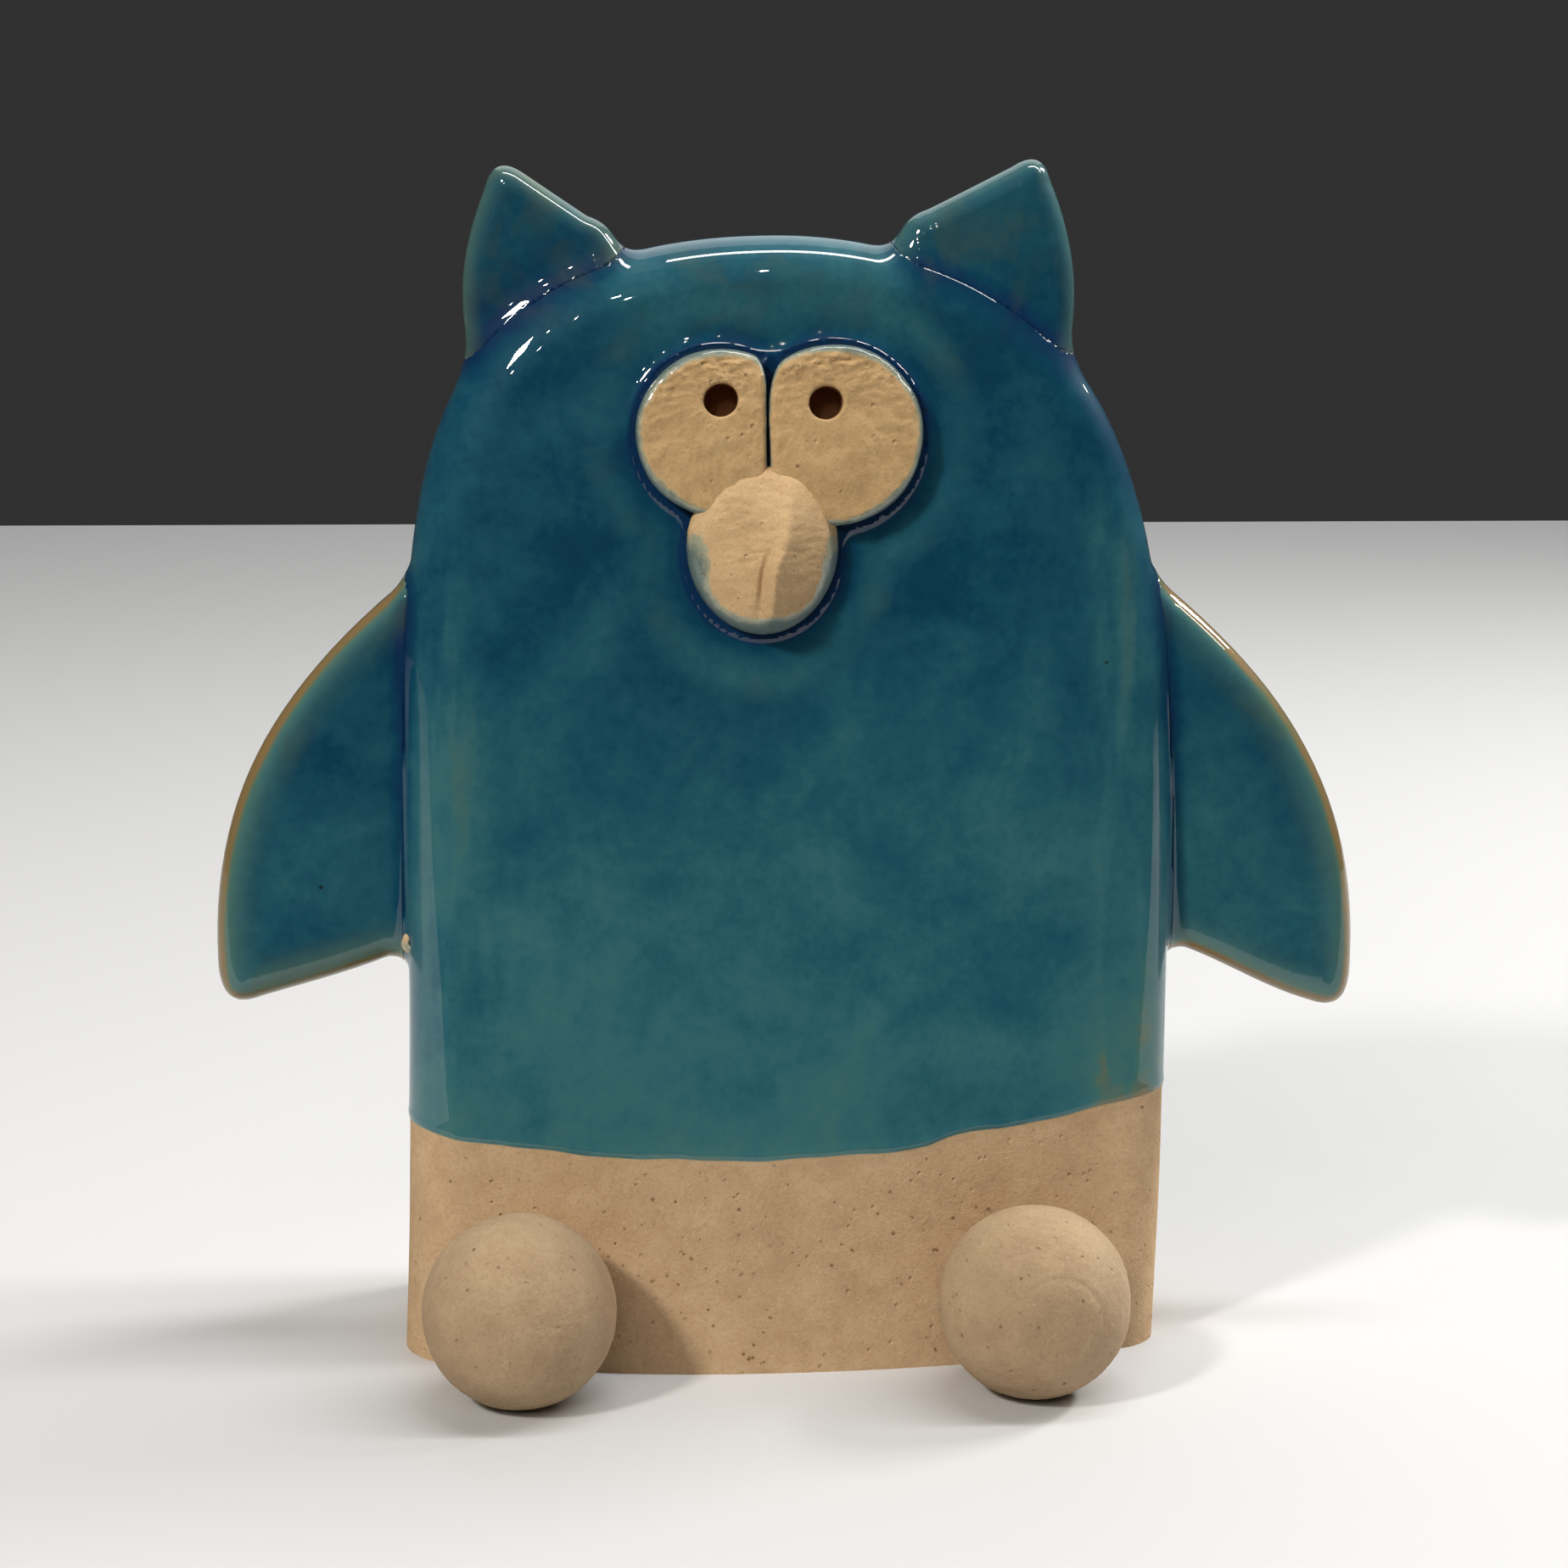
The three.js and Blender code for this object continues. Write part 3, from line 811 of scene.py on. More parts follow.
def clay_look(recipe):
    """Bare stoneware: colour and surface height, with sand, specks of iron and small pits."""
    broad = recipe.mottle(24, 2, shift=(0.3, 0.1, 0.7))
    middling = recipe.mottle(4.5, 3, 0.6, shift=(0.9, 0.2, 0.1))
    sand = recipe.mottle(0.6, 3, 0.75)
    grit = recipe.mottle(0.28, 2, 0.7, shift=(0.5, 0.5, 0.5))
    colour = recipe.ramp(broad * 0.5 + middling * 0.5, [
        (0.30, linear(176, 146, 113)),
        (0.50, linear(193, 163, 128)),
        (0.70, linear(206, 178, 143)),
    ])
    colour = recipe.blend(sand.fade(0.45, 0.75) * 0.40, colour, linear(158, 124, 88))
    colour = recipe.blend((1 - grit.fade(0.28, 0.45)) * 0.35, colour, linear(224, 202, 172))
    crowd = recipe.mottle(11, 2, shift=(0.4, 0.4, 0))
    specks = 1 - recipe.cells(2.3, shift=(0.2, 0.5, 0.3)).fade(0.06, 0.15)
    specks = specks * crowd.fade(0.45, 0.62)
    iron = 1 - recipe.cells(5.3, shift=(0.7, 0.1, 0.9)).fade(0.03, 0.07)
    dark = (specks * 0.75).at_least(iron * 0.9)
    colour = recipe.blend(dark * 0.75, colour, linear(92, 62, 38))
    pits = 1 - recipe.cells(1.9, shift=(0.1, 0.8, 0.2)).fade(0.05, 0.2)
    pits = pits * recipe.mottle(5, 1).fade(0.46, 0.6)
    height = sand * 0.55 + grit * 0.25 + middling * 0.9 - pits * 0.9
    return colour, height


def make_glaze():
    """Teal glaze over stoneware. It is thin and brown on edges, and deep blue where it pools."""
    recipe = Recipe("teal_glaze_over_clay")
    lute, face, edge, flank, dip = map(recipe.attribute, ("lute", "face", "edge", "flank", "dip"))
    clay, clay_height = clay_look(recipe)

    clouds = recipe.mottle(24, 3, 0.55, shift=(0.13, 0.2, 0.52), distortion=0.8)
    patches = recipe.mottle(8, 3, 0.6, shift=(0.6, 0.3, 0.1), distortion=0.5)
    fine = recipe.mottle(1.5, 4, 0.7, shift=(0.1, 0.1, 0.4))
    streaks = recipe.mottle(4, 3, 0.5, shift=(0.3, 0, 0), stretch=(1, 1, 0.12))

    height_mm = recipe.height_above_ground()
    # The glaze darkens with height: partly thicker glaze, partly painted shade on the upward-facing forehead,
    # which the lamps overhead light strongly.
    thickness_and_painted_light = 0.44 + height_mm.fade(20, 95) * 0.12 + height_mm.fade(66, 116) * 0.20
    thickness_and_painted_light = thickness_and_painted_light + (clouds - 0.5) * 0.56 + (patches - 0.5) * 0.32 + (fine - 0.5) * 0.26
    thickness_and_painted_light = thickness_and_painted_light + flank.fade(54, 58) * 0.10 - height_mm.fade(134, 150) * 0.14
    pooled = (1 - lute.fade(0.2, 3.4)) * 0.32
    ring = (1 - face.fade(0.1, 1.5)) * 0.50 + (1 - face.fade(0.3, 3.6)) * 0.16
    halo = face.bell(5.6, 3.8) * (0.04 + clouds.fade(0.42, 0.66) * 0.22)
    upright = 1 - height_mm.fade(100, 128)
    side_band = flank.bell(6.5, 7.5) * (0.05 + streaks.fade(0.35, 0.65) * 0.18 * upright)
    near_edge = (1 - edge.fade(0.2, 5.5)) * (0.20 + patches * 0.28)
    bare_edge = (1 - edge.fade(0.3, 2.2)) * (0.36 + fine * 0.4)
    # Lighter glaze low on the body, most of all near the glaze line: partly thinner glaze, partly painted
    # bounce light from the floor.
    thin_low_and_painted_bounce = (1 - dip.fade(0.5, 24)) * 0.08 + (1 - dip.fade(0, 1.2)) * 0.08
    thickness_and_painted_light = thickness_and_painted_light + pooled + ring - halo - side_band - near_edge - bare_edge - thin_low_and_painted_bounce

    colour = recipe.ramp(thickness_and_painted_light, [
        (0.00, linear(138, 106, 66)),
        (0.10, linear(104, 110, 86)),
        (0.24, linear(66, 114, 112)),
        (0.42, linear(50, 104, 114)),
        (0.58, linear(32, 88, 104)),
        (0.78, linear(8, 66, 90)),
        (1.00, linear(6, 44, 80)),
    ])
    olive = streaks.fade(0.5, 0.72) * flank.bell(6.0, 6.5) * upright * 0.26
    olive = olive + halo * patches.fade(0.4, 0.7) * 0.9
    olive = olive * height_mm.fade(40, 60) + height_mm.fade(134, 150) * patches.fade(0.45, 0.7) * 0.22
    olive = olive + (1 - edge.fade(0.8, 7)) * (0.20 + clouds.fade(0.35, 0.65) * 0.40)
    colour = recipe.blend(olive, colour, linear(92, 108, 78))
    pinholes = 1 - recipe.cells(15, shift=(0.3, 0.9, 0.5)).fade(0.012, 0.024)
    colour = recipe.blend(pinholes * 0.8, colour, linear(30, 26, 24))

    covered = dip.fade(-0.10, 0.14)
    colour = recipe.blend(covered, clay, colour)
    halo_line = dip.bell(-0.3, 0.5) * 0.25
    colour = recipe.blend(halo_line, colour, linear(214, 190, 150))
    height = clay_height * (1 - covered)
    return recipe.finish(
        Base_Color=colour,
        Roughness=0.88 - covered * 0.38,
        Specular_IOR_Level=0.04,
        Coat_Weight=covered,
        Coat_Roughness=0.02,
        Coat_IOR=1.5,
        Normal=recipe.bump(height, 0.22),
    )


def make_clay(name, tint=(1, 1, 1), film=False, hollow=False):
    """Bare stoneware, with a thin film of glaze where the attribute film says that it caught some, and
    painted shade deep in the pupil holes where the attribute hollow says.
    """
    recipe = Recipe(name)
    colour, height = clay_look(recipe)
    colour = recipe.blend(1.0, colour, (*tint, 1), "MULTIPLY")
    if hollow:
        # Painted shade: the pupil holes turn darker brown the deeper they go, as if their walls shaded them.
        colour = recipe.blend(recipe.attribute("hollow"), colour, linear(146, 100, 62))
    glossy = 0.0
    if film:
        caught = recipe.attribute("film") + (recipe.mottle(1.3, 3, 0.6) - 0.5) * 1.3
        mask = caught.fade(0.35, 0.75)
        thin = recipe.blend(caught.fade(0.7, 1.5), linear(150, 158, 136), linear(62, 104, 108))
        colour = recipe.blend(mask * 0.85, colour, thin)
        glossy = mask
    return recipe.finish(
        Base_Color=colour,
        Roughness=0.88 - glossy * 0.6,
        Coat_Weight=glossy,
        Coat_Roughness=0.05,
        Normal=recipe.bump(height, 0.22),
    )


def make_rubber():
    recipe = Recipe("black_stopper_rubber")
    dust = recipe.mottle(6, 3, 0.6)
    grain = recipe.mottle(0.5, 2)
    colour = recipe.blend(dust.fade(0.4, 0.75) * 0.5, linear(34, 34, 36), linear(62, 60, 58))
    return recipe.finish(
        Base_Color=colour,
        Roughness=0.55 + dust * 0.25,
        Normal=recipe.bump(grain, 0.04),
    )


glaze = make_glaze()
clay = make_clay("bare_stoneware_clay")
# Painted shade: the feet get a darker, greyer copy of the clay, as if less light fell on them.
foot_clay_painted_shade = make_clay("foot_clay_painted_darker", tint=(0.76, 0.77, 0.76))
eye_clay = make_clay("sandy_clay_with_glaze_film", tint=(1.04, 0.99, 0.78), film=True, hollow=True)
beak_clay = make_clay("pinched_clay_with_glaze_film", tint=(1.14, 1.12, 0.98), film=True)
grog = make_clay("fired_grog", tint=linear(190, 170, 150)[:3])
rubber = make_rubber()


# --------------- front and back shells

STRIP_ROWS = 12
ROUND_ROWS = 12


def inward_of(outline):
    """Directions square to an outline. They are level at its two feet."""
    along = np.gradient(outline, axis=0)
    along /= np.linalg.norm(along, axis=1)[:, None]
    inward = columns(along[:, 1], -along[:, 0])
    inward[0], inward[-1] = (1, 0), (-1, 0)
    return inward


def shell_skin(sign, inset_at, strip_rows, round_rows, first):
    """One skin of a shell: a band from the middle plane round to the face, and a woven grid over the face."""
    inward = inward_of(arch)
    outline = arch + inward * inset_at(arch[:, 1])[:, None]
    x, z = outline.T
    inset = inset_at(z)
    outer_radius = radius_at(x, z)
    radius = np.maximum(outer_radius - inset, 1.5)
    strip = np.maximum(strip_at(z) + outer_radius - inset - radius, 0.5)
    rows = [columns(x, sign * strip * k / strip_rows, z) for k in range(strip_rows)]
    for k in range(round_rows + 1):
        angle = math.pi / 2 * k / round_rows
        flat = outline + inward * (radius * (1 - math.cos(angle)))[:, None]
        y = strip + radius * math.sin(angle) + bulge_at(flat[:, 0], flat[:, 1])
        rows.append(columns(flat[:, 0], sign * y, flat[:, 1]))
    band = np.stack(rows)
    count = band.shape[1]
    ids = first + np.arange(band.shape[0] * count).reshape(band.shape[0], count)

    slant = np.abs(inward[:, 0]) - np.abs(inward[:, 1])
    up = int(np.argmax(slant < 0))
    top = count - 1 - 2 * up
    rim = band[-1][:, [0, 2]]
    left, right = rim[: up + 1], rim[::-1][: up + 1]
    crown = rim[up: up + top + 1]
    u = np.linspace(0, 1, top + 1)[None, :, None]
    v = np.linspace(0, 1, up + 1)[:, None, None]
    foot = left[0] * (1 - u[0]) + right[0] * u[0]
    inner = (
        (1 - u) * left[:, None] + u * right[:, None] + (1 - v) * foot[None] + v * crown[None]
        - (1 - u) * (1 - v) * left[0] - u * (1 - v) * right[0] - (1 - u) * v * left[-1] - u * v * right[-1]
    )
    depth = face_depth(inner[..., 0], inner[..., 1]) - inset_at(inner[..., 1])
    woven = columns(inner[..., 0], sign * depth, inner[..., 1])
    woven_ids = np.full(woven.shape[:2], -1)
    woven_ids[:, 0] = ids[-1, : up + 1]
    woven_ids[:, -1] = ids[-1, ::-1][: up + 1]
    woven_ids[-1, :] = ids[-1, up: up + top + 1]
    free = woven_ids < 0
    woven_ids[free] = first + ids.size + np.arange(free.sum())
    points = np.concatenate([band.reshape(-1, 3), woven[free]])
    faces = np.concatenate([grid_faces(ids), grid_faces(woven_ids)])
    bottom = np.concatenate([ids[:, 0], woven_ids[0, 1:-1], ids[::-1, -1]])
    return points, faces, ids[0], bottom


def cavity_inset(z):
    """The wall's thickness. It is thinner beside the base slab, which is let into the shells."""
    step = np.clip((z - SLAB_THICKNESS - 0.3) / 2.0, 0, 1)
    return LAP_WALL + (WALL - LAP_WALL) * step


def make_shell(name, sign):
    """One half of the body: the front where sign is -1, the back with the coin slot where it is 1."""
    points, faces, seam, bottom = shell_skin(sign, np.zeros_like, STRIP_ROWS, ROUND_ROWS, 0)
    outer_count = len(points)
    held = np.ones_like(points)
    held[seam, 1] = 0
    held[bottom, 2] = 0
    points = settle(points, body_surface, held)
    points[seam, 1] = 0
    points[bottom, 2] = 0
    inner, inner_faces, inner_seam, inner_bottom = shell_skin(sign, cavity_inset, 3, 3, outer_count)
    inner[inner_bottom - outer_count, 2] = 0
    inner[inner_seam - outer_count, 1] = 0
    joint = grid_faces(np.stack([seam, inner_seam]))
    under = np.concatenate([bottom, inner_bottom[::-1]])
    made = new_solid(name, np.concatenate([points, inner]), [*faces, *inner_faces, *joint, under])
    if sign > 0:
        combine(made, slot_cutter(), "DIFFERENCE")
    return finish_glazed(made, name, body_surface)


def slot_cutter():
    """A bar with round ends that passes through the back wall."""
    turn = turns(96) - math.pi / 2
    x = SLOT_MIDDLE + np.where(np.cos(turn) >= 0, SLOT_REACH, -SLOT_REACH) + SLOT_HEIGHT / 2 * np.cos(turn)
    z = SLOT_HEIGHT_ABOVE_GROUND + SLOT_HEIGHT / 2 * np.sin(turn)
    return new_solid("slot_cutter", *capped_loft([columns(x, y, z) for y in (3.0, 30.0)]))


def finish_glazed(made, name, surface):
    """Gives a glazed piece its shading, and what the glaze needs to know about each point, in millimetres:

    how far it is from a joint, the face's pieces, a plate's edge, the body's outline and the glaze line.
    """
    p = points_of(made)
    put_points(made, p)
    x, y, z = p.T
    on_body = name in ("front_shell", "back_shell")
    outside = surface(p) > -0.6 if on_body else np.ones(len(p), bool)
    if on_body:
        lute = np.minimum.reduce([distance_to(other, p) for other in PLATES])
        face = np.minimum.reduce([distance_to(other, p) for other in [*EYES, "beak"]])
        edge = np.full(len(p), FAR)
        flank = body_outline(x, z)
        dip = np.where(outside, z - glaze_line(x, y), -FAR)
    else:
        lute = body_distance(p)
        face = np.full(len(p), FAR)
        inset = plate_outlines[name](x, z)
        front, thickness = PLATES[name]
        from_faces = np.minimum(y - front, front + thickness - y)
        edge = np.hypot(np.maximum(inset, 0), np.maximum(from_faces - 2.2, 0) * 0.9)
        if name in EARS:
            edge = edge * 1.5 + 1.9
        flank = np.full(len(p), FAR)
        dip = np.full(len(p), FAR)
    for key, values in dict(lute=lute, face=face, edge=edge, flank=flank, dip=dip).items():
        set_attribute(made, key, values)
    exact_shading(made, surface, outside)
    return piece(made, glaze, nodes=[name])


def make_plate(name):
    """An ear or a wing: its outline as a slab, remeshed finely and settled on its rounded surface."""
    outline = plate_outlines[name].points
    front, thickness = PLATES[name]
    count = len(outline)
    near = columns(outline[:, 0], front, outline[:, 1])
    far = near + [0, thickness, 0]
    sides = [[i, (i + 1) % count, count + (i + 1) % count, count + i] for i in range(count)]
    made = new_solid(name, np.concatenate([near, far]), [*sides, range(count)[::-1], range(count, 2 * count)])
    remesh(made, PLATE_SKIN_SIZE)
    put_points(made, settle(points_of(made), plate_surface(name)))
    return finish_glazed(made, name, plate_surface(name))


make_shell("front_shell", -1)
make_shell("back_shell", 1)
for plate_name in PLATES:
    make_plate(plate_name)


# --------------- face

def spot(*terms):
    """1 where each value is at its middle, falling to 0 a few widths away."""
    return np.exp(-sum(((value - middle) / width) ** 2 for value, middle, width in terms))


def make_eye(name):
    """A flat round of clay with a poked pupil, pressed against its neighbour along the seam.

    Its rings of points run from the floor of the pupil up over its lip, out over the face and round the rim.
    """
    shape = EYES[name]
    side, radius = shape["side"], shape["radius"]
    turn = turns(180)
    outward = columns(np.cos(turn), np.sin(turn))
    to_seam = abs(shape["x"] - EYE_SEAM) - EYE_GAP
    seam_reach = to_seam / np.maximum(-side * outward[:, 0], 1e-3)
    soft = 1.6 + 2.2 * np.clip(outward[:, 1], 0, 1)
    h = np.clip(0.5 + 0.5 * (seam_reach - radius) / soft, 0, 1)
    rim_reach = seam_reach * (1 - h) + radius * h - soft * h * (1 - h)
    rim_reach = rim_reach * (1 + 0.006 * np.sin(3 * turn + radius) + 0.004 * np.sin(7 * turn))
    rim = outward * rim_reach[:, None]
    pupil = np.array(shape["pupil"])
    hole_reach = PUPIL_RADIUS * (0.93 + 0.03 * np.sin(2 * turn + 0.5))

    def face_height(flat):
        return EYE_THICKNESS + EYE_DOME * (1 - (np.linalg.norm(flat, axis=1) / radius) ** 2)

    def ring(flat, height):
        return columns(*flat.T, height)

    def hole(grow, share_out=1.0):
        return pupil + outward * (hole_reach * share_out + grow)[:, None]

    lip, round_rim = 0.45, 1.25
    hole_floor = EYE_THICKNESS - 4.7
    inner_rim = rim - outward * round_rim
    rings = [[*pupil, hole_floor], *[ring(hole(0, share_out), hole_floor) for share_out in (0.35, 0.7, 0.92)]]
    for below in (4.3, 3.4, 2.6, 1.9, 1.3, 0.8):
        rings.append(ring(hole(0), face_height(hole(0)) - below))
    for k in range(6):
        angle = math.pi / 2 * k / 5
        flat = hole(lip * (1 - math.cos(angle)))
        rings.append(ring(flat, face_height(flat) - lip * (1 - math.sin(angle))))
    for k in range(1, 19):
        flat = hole(lip) * (1 - k / 18) + inner_rim * (k / 18)
        rings.append(ring(flat, face_height(flat)))
    for k in range(1, 9):
        angle = math.pi / 2 * k / 8
        flat = inner_rim + outward * round_rim * math.sin(angle)
        rings.append(ring(flat, face_height(inner_rim) - round_rim * (1 - math.cos(angle))))
    rings += [ring(rim, height) for height in (1.2, 0.2, -1.0, EYE_ROOT)]
    local, faces = loft([*rings, [0, 0, EYE_ROOT]])
    on_top = local[:, 2] > EYE_THICKNESS - 1.0
    flat = local * [1, 1, 0]
    out_share = np.linalg.norm(flat, axis=1) / radius
    torn = np.clip(out_share - 0.5, 0, 0.35) * np.clip((0.93 - out_share) * 12, 0, 1)
    torn = torn * np.clip(0.6 + flat[:, 1] / radius, 0, 1.4)
    bumps = unevenness(flat, 2.4, 3, radius) * 0.20 + unevenness(flat * [1, 0.5, 0], 0.8, 2, 4) * 0.07
    bumps += unevenness(flat * [0.8, 1.6, 0], 1.1, 3, 5) * torn * 0.9
    local[:, 2] += np.where(on_top, bumps, 0)
    made = new_solid(name, on_face(local, shape["x"], shape["z"]), faces)
    u, v, w = from_face(points_of(made), shape["x"], shape["z"]).T
    reach = np.interp(np.mod(np.arctan2(v, u), 2 * math.pi), turn, rim_reach, period=2 * math.pi)
    from_rim = reach - np.hypot(u, v)
    seam_side = np.clip(-side * u / radius, 0, 1)
    film = 1.45 - from_rim / 0.8 + np.clip(EYE_THICKNESS - 0.4 - w, 0, 2) * (from_rim < 2) - 1.2 * seam_side
    film = film + 0.5 * spot((u, side * 6.0, 5), (v, -7.0, 4)) + 0.55 * np.clip(v / radius, 0, 1)
    set_attribute(made, "film", np.clip(film, 0, 2))
    in_hole = np.hypot(u - pupil[0], v - pupil[1]) < PUPIL_RADIUS * 1.1
    # The hollow attribute carries painted shade: 0 at the disc's face, rising to 1 deep in the pupil hole.
    set_attribute(made, "hollow", np.where(in_hole, np.clip((EYE_THICKNESS - w) / 1.2, 0, 1), 0))
    soft_shading(made)
    return piece(made, eye_clay, nodes=[name])


def make_beak():
    """A ball of clay flattened to an egg and pinched into a ridge."""
    turn = turns(160)
    right = BEAK["half_width"] * np.cos(turn) * (1 + 0.07 * np.sin(turn))
    up = BEAK["half_height"] * np.sin(turn) * (1 + 0.05 * np.maximum(np.sin(turn), 0))
    levels = [(math.sin(angle), math.cos(angle)) for angle in np.linspace(0, math.pi / 2, 49)[1:]]
    levels += [(1 + height * 0.3, height) for height in (-0.12, -0.3)]
    rings = [columns(right * size, up * size, height) for size, height in levels]
    local, faces = loft([[0, 0, 1], *rings, [0, 0, -0.3]])
    u, v, share_up = local.T
    steepness = 0.72 - 0.34 * np.clip(v / BEAK["half_height"], 0, 1)
    dome = np.sign(share_up) * np.abs(share_up) ** steepness * BEAK["depth"] * 0.66
    shoulder = np.clip(share_up, 0, 1)
    lengthways = np.clip(0.88 - v / 22, 0.2, 1)
    from_ridge = u - 0.9 - 0.2 * (v + 7) - 0.22 * np.sin(v / 1.6)
    from_crest = np.sqrt(from_ridge ** 2 + 0.06 + 0.05 * np.clip(v + 1, 0, 9)) - 0.24
    ridge = 3.8 * np.exp(-from_crest / 3.0) * lengthways * shoulder - 0.3
    groove = -1.1 * spot((from_ridge, -1.6, 0.6), (v, -4.4, 4.4))
    nick = -0.5 * spot((u, 0.5, 0.45), (v, -7.6, 1.0))
    local[:, 2] = dome + ridge + (groove + nick) * shoulder
    wrinkle = unevenness(local * [0.55, 1.7, 0.3], 1.5, 3, 3.0) * 0.15
    sandy = unevenness(local, 0.6, 2, 6.0) * 0.06
    local[:, 2] += (wrinkle + sandy) * shoulder
    made = new_solid("beak", on_face(local, BEAK["x"], BEAK["z"]), faces)
    u, v = from_face(points_of(made), BEAK["x"], BEAK["z"]).T[:2]
    reach = np.hypot(u / BEAK["half_width"], v / BEAK["half_height"])
    turn_up = np.clip(0.45 - v / BEAK["half_height"], 0, 1.3)
    film = (reach - 0.78) * 8.5 * turn_up + 1.17 * spot((u, -8.6, 2.2), (v, -1.5, 3.2))
    film = film + 0.98 * spot((u, 0.8, 1.8), (v, -9.8, 1.3)) + 0.84 * spot((u, 8.8, 1.7), (v, -2.5, 4.0))
    set_attribute(made, "film", np.clip(film, 0, 2))
    soft_shading(made, 60)
    return piece(made, beak_clay, nodes=["beak"])


for eye_name in EYES:
    make_eye(eye_name)
make_beak()


# --------------- feet

def make_foot(name):
    """A ball rolled between the palms, set down soft so that it is flat underneath.

    The right one has a round dab pressed into its front, with a wrinkle beside it.
    """
    directions, faces = ball(7)
    seed = 1.0 if name == "left_foot" else 2.0
    reach = FOOT_RADIUS * 0.988 + 0.12 * unevenness(directions, 0.55, 2, seed)
    reach += 0.05 * unevenness(directions, 0.07, 3, seed + 3)
    if name == "right_foot":
        facing = np.array([0.16, -0.985, 0.05])
        facing /= np.linalg.norm(facing)
        cap = np.arccos(np.clip(directions @ facing, -1, 1)) * FOOT_RADIUS
        reach -= 0.35 * np.exp(-(cap / 4.6) ** 4)
        wrinkle = np.exp(-((cap - 6.4) / 0.5) ** 2) * np.clip(directions @ [0.6, 0, 0.8], 0, 1)
        reach -= 0.22 * wrinkle * (1 + 0.5 * unevenness(directions, 0.2, 2, 8))
    p = foot_centre(name) + directions * reach[:, None]
    under = p[:, 2] < FOOT_FLATTENING
    p[under, 2] = FOOT_FLATTENING * np.exp(np.clip(p[under, 2] / FOOT_FLATTENING - 1, -6, 0))
    made = new_solid(name, p, faces)
    put_points(made, points_of(made))
    soft_shading(made, 60)
    return piece(made, foot_clay_painted_shade, nodes=[name])


for foot_name in FEET:
    make_foot(foot_name)


# --------------- crumb of clay and grog grains

def make_crumb():
    """A crumb of clay left in the corner under the left wing, with a pinhole in it."""
    directions, faces = ball(5)
    radius = 1.3
    reach = radius * (1 + 0.16 * unevenness(directions, 0.8, 2, 11))
    facing = directions @ np.array([0.3, -0.94, 0.15])
    reach -= 0.55 * np.exp(-((1 - facing) / 0.035) ** 2)
    root = np.array([-51.6, -8.6, 56.6])
    made = new_solid("wing_root_crumb", root + directions * reach[:, None] * [0.85, 1, 1.15], faces)
    set_attribute(made, "film", 0.55 + 0.3 * unevenness(directions, 0.5, 2, 12))
    soft_shading(made, 60)
    return piece(made, beak_clay)


GRAIN_INPUTS = (
    ("Grains per square metre", "NodeSocketFloat", 26000.0),
    ("Smallest radius", "NodeSocketFloat", 0.10 * MM),
    ("Largest radius", "NodeSocketFloat", 0.26 * MM),
    ("Seed", "NodeSocketInt", 7),
    ("Finish", "NodeSocketMaterial", grog),
)
# Middle, half width, half height and side of each area where grains stand out of the clay.
GRAIN_AREAS = (
    (-0.9, 14.0, 44.0, 12.0, -1),
    (-14.0, 20.5, 7.0, 4.5, -1),
    (-0.9, 16.0, 46.0, 13.0, 1),
)


def grain_tree():
    """Scatters small angular grains over a surface, each sunk into it."""
    tree = bpy.data.node_groups.new("grog_grains", "GeometryNodeTree")
    tree.interface.new_socket("Clay", in_out="INPUT", socket_type="NodeSocketGeometry")
    for label, kind, _ in GRAIN_INPUTS:
        tree.interface.new_socket(label, in_out="INPUT", socket_type=kind)
    tree.interface.new_socket("Grains", in_out="OUTPUT", socket_type="NodeSocketGeometry")

    add = partial(add_node, tree)
    given = tree.nodes.new("NodeGroupInput").outputs
    scatter = add("GeometryNodeDistributePointsOnFaces", {
        "Mesh": given["Clay"], "Density": given["Grains per square metre"], "Seed": given["Seed"],
    })
    grain = add("GeometryNodeMeshIcoSphere", {"Radius": 1.0, "Subdivisions": 2})
    size = add("FunctionNodeRandomValue", {
        2: given["Smallest radius"], 3: given["Largest radius"], "Seed": given["Seed"],
    })
    tilt = add("FunctionNodeRandomValue", {
        0: (0.0, 0.0, 0.0), 1: (6.28, 6.28, 6.28), "Seed": given["Seed"],
    }, data_type="FLOAT_VECTOR")
    squash = add("FunctionNodeRandomValue", {
        0: (0.6, 0.6, 0.6), 1: (1.3, 1.3, 1.0), "Seed": given["Seed"],
    }, data_type="FLOAT_VECTOR")
    scale = add("ShaderNodeVectorMath", {0: squash.outputs[0]}, operation="SCALE")
    tree.links.new(size.outputs[1], scale.inputs["Scale"])
    placed = add("GeometryNodeInstanceOnPoints", {
        "Points": scatter.outputs["Points"], "Instance": grain.outputs["Mesh"],
        "Rotation": tilt.outputs[0], "Scale": scale.outputs[0],
    })
    real = add("GeometryNodeRealizeInstances", {"Geometry": placed.outputs[0]})
    dressed = add("GeometryNodeSetMaterial", {"Geometry": real.outputs[0], "Material": given["Finish"]})
    add("NodeGroupOutput", {"Grains": dressed.outputs[0]})
    return tree


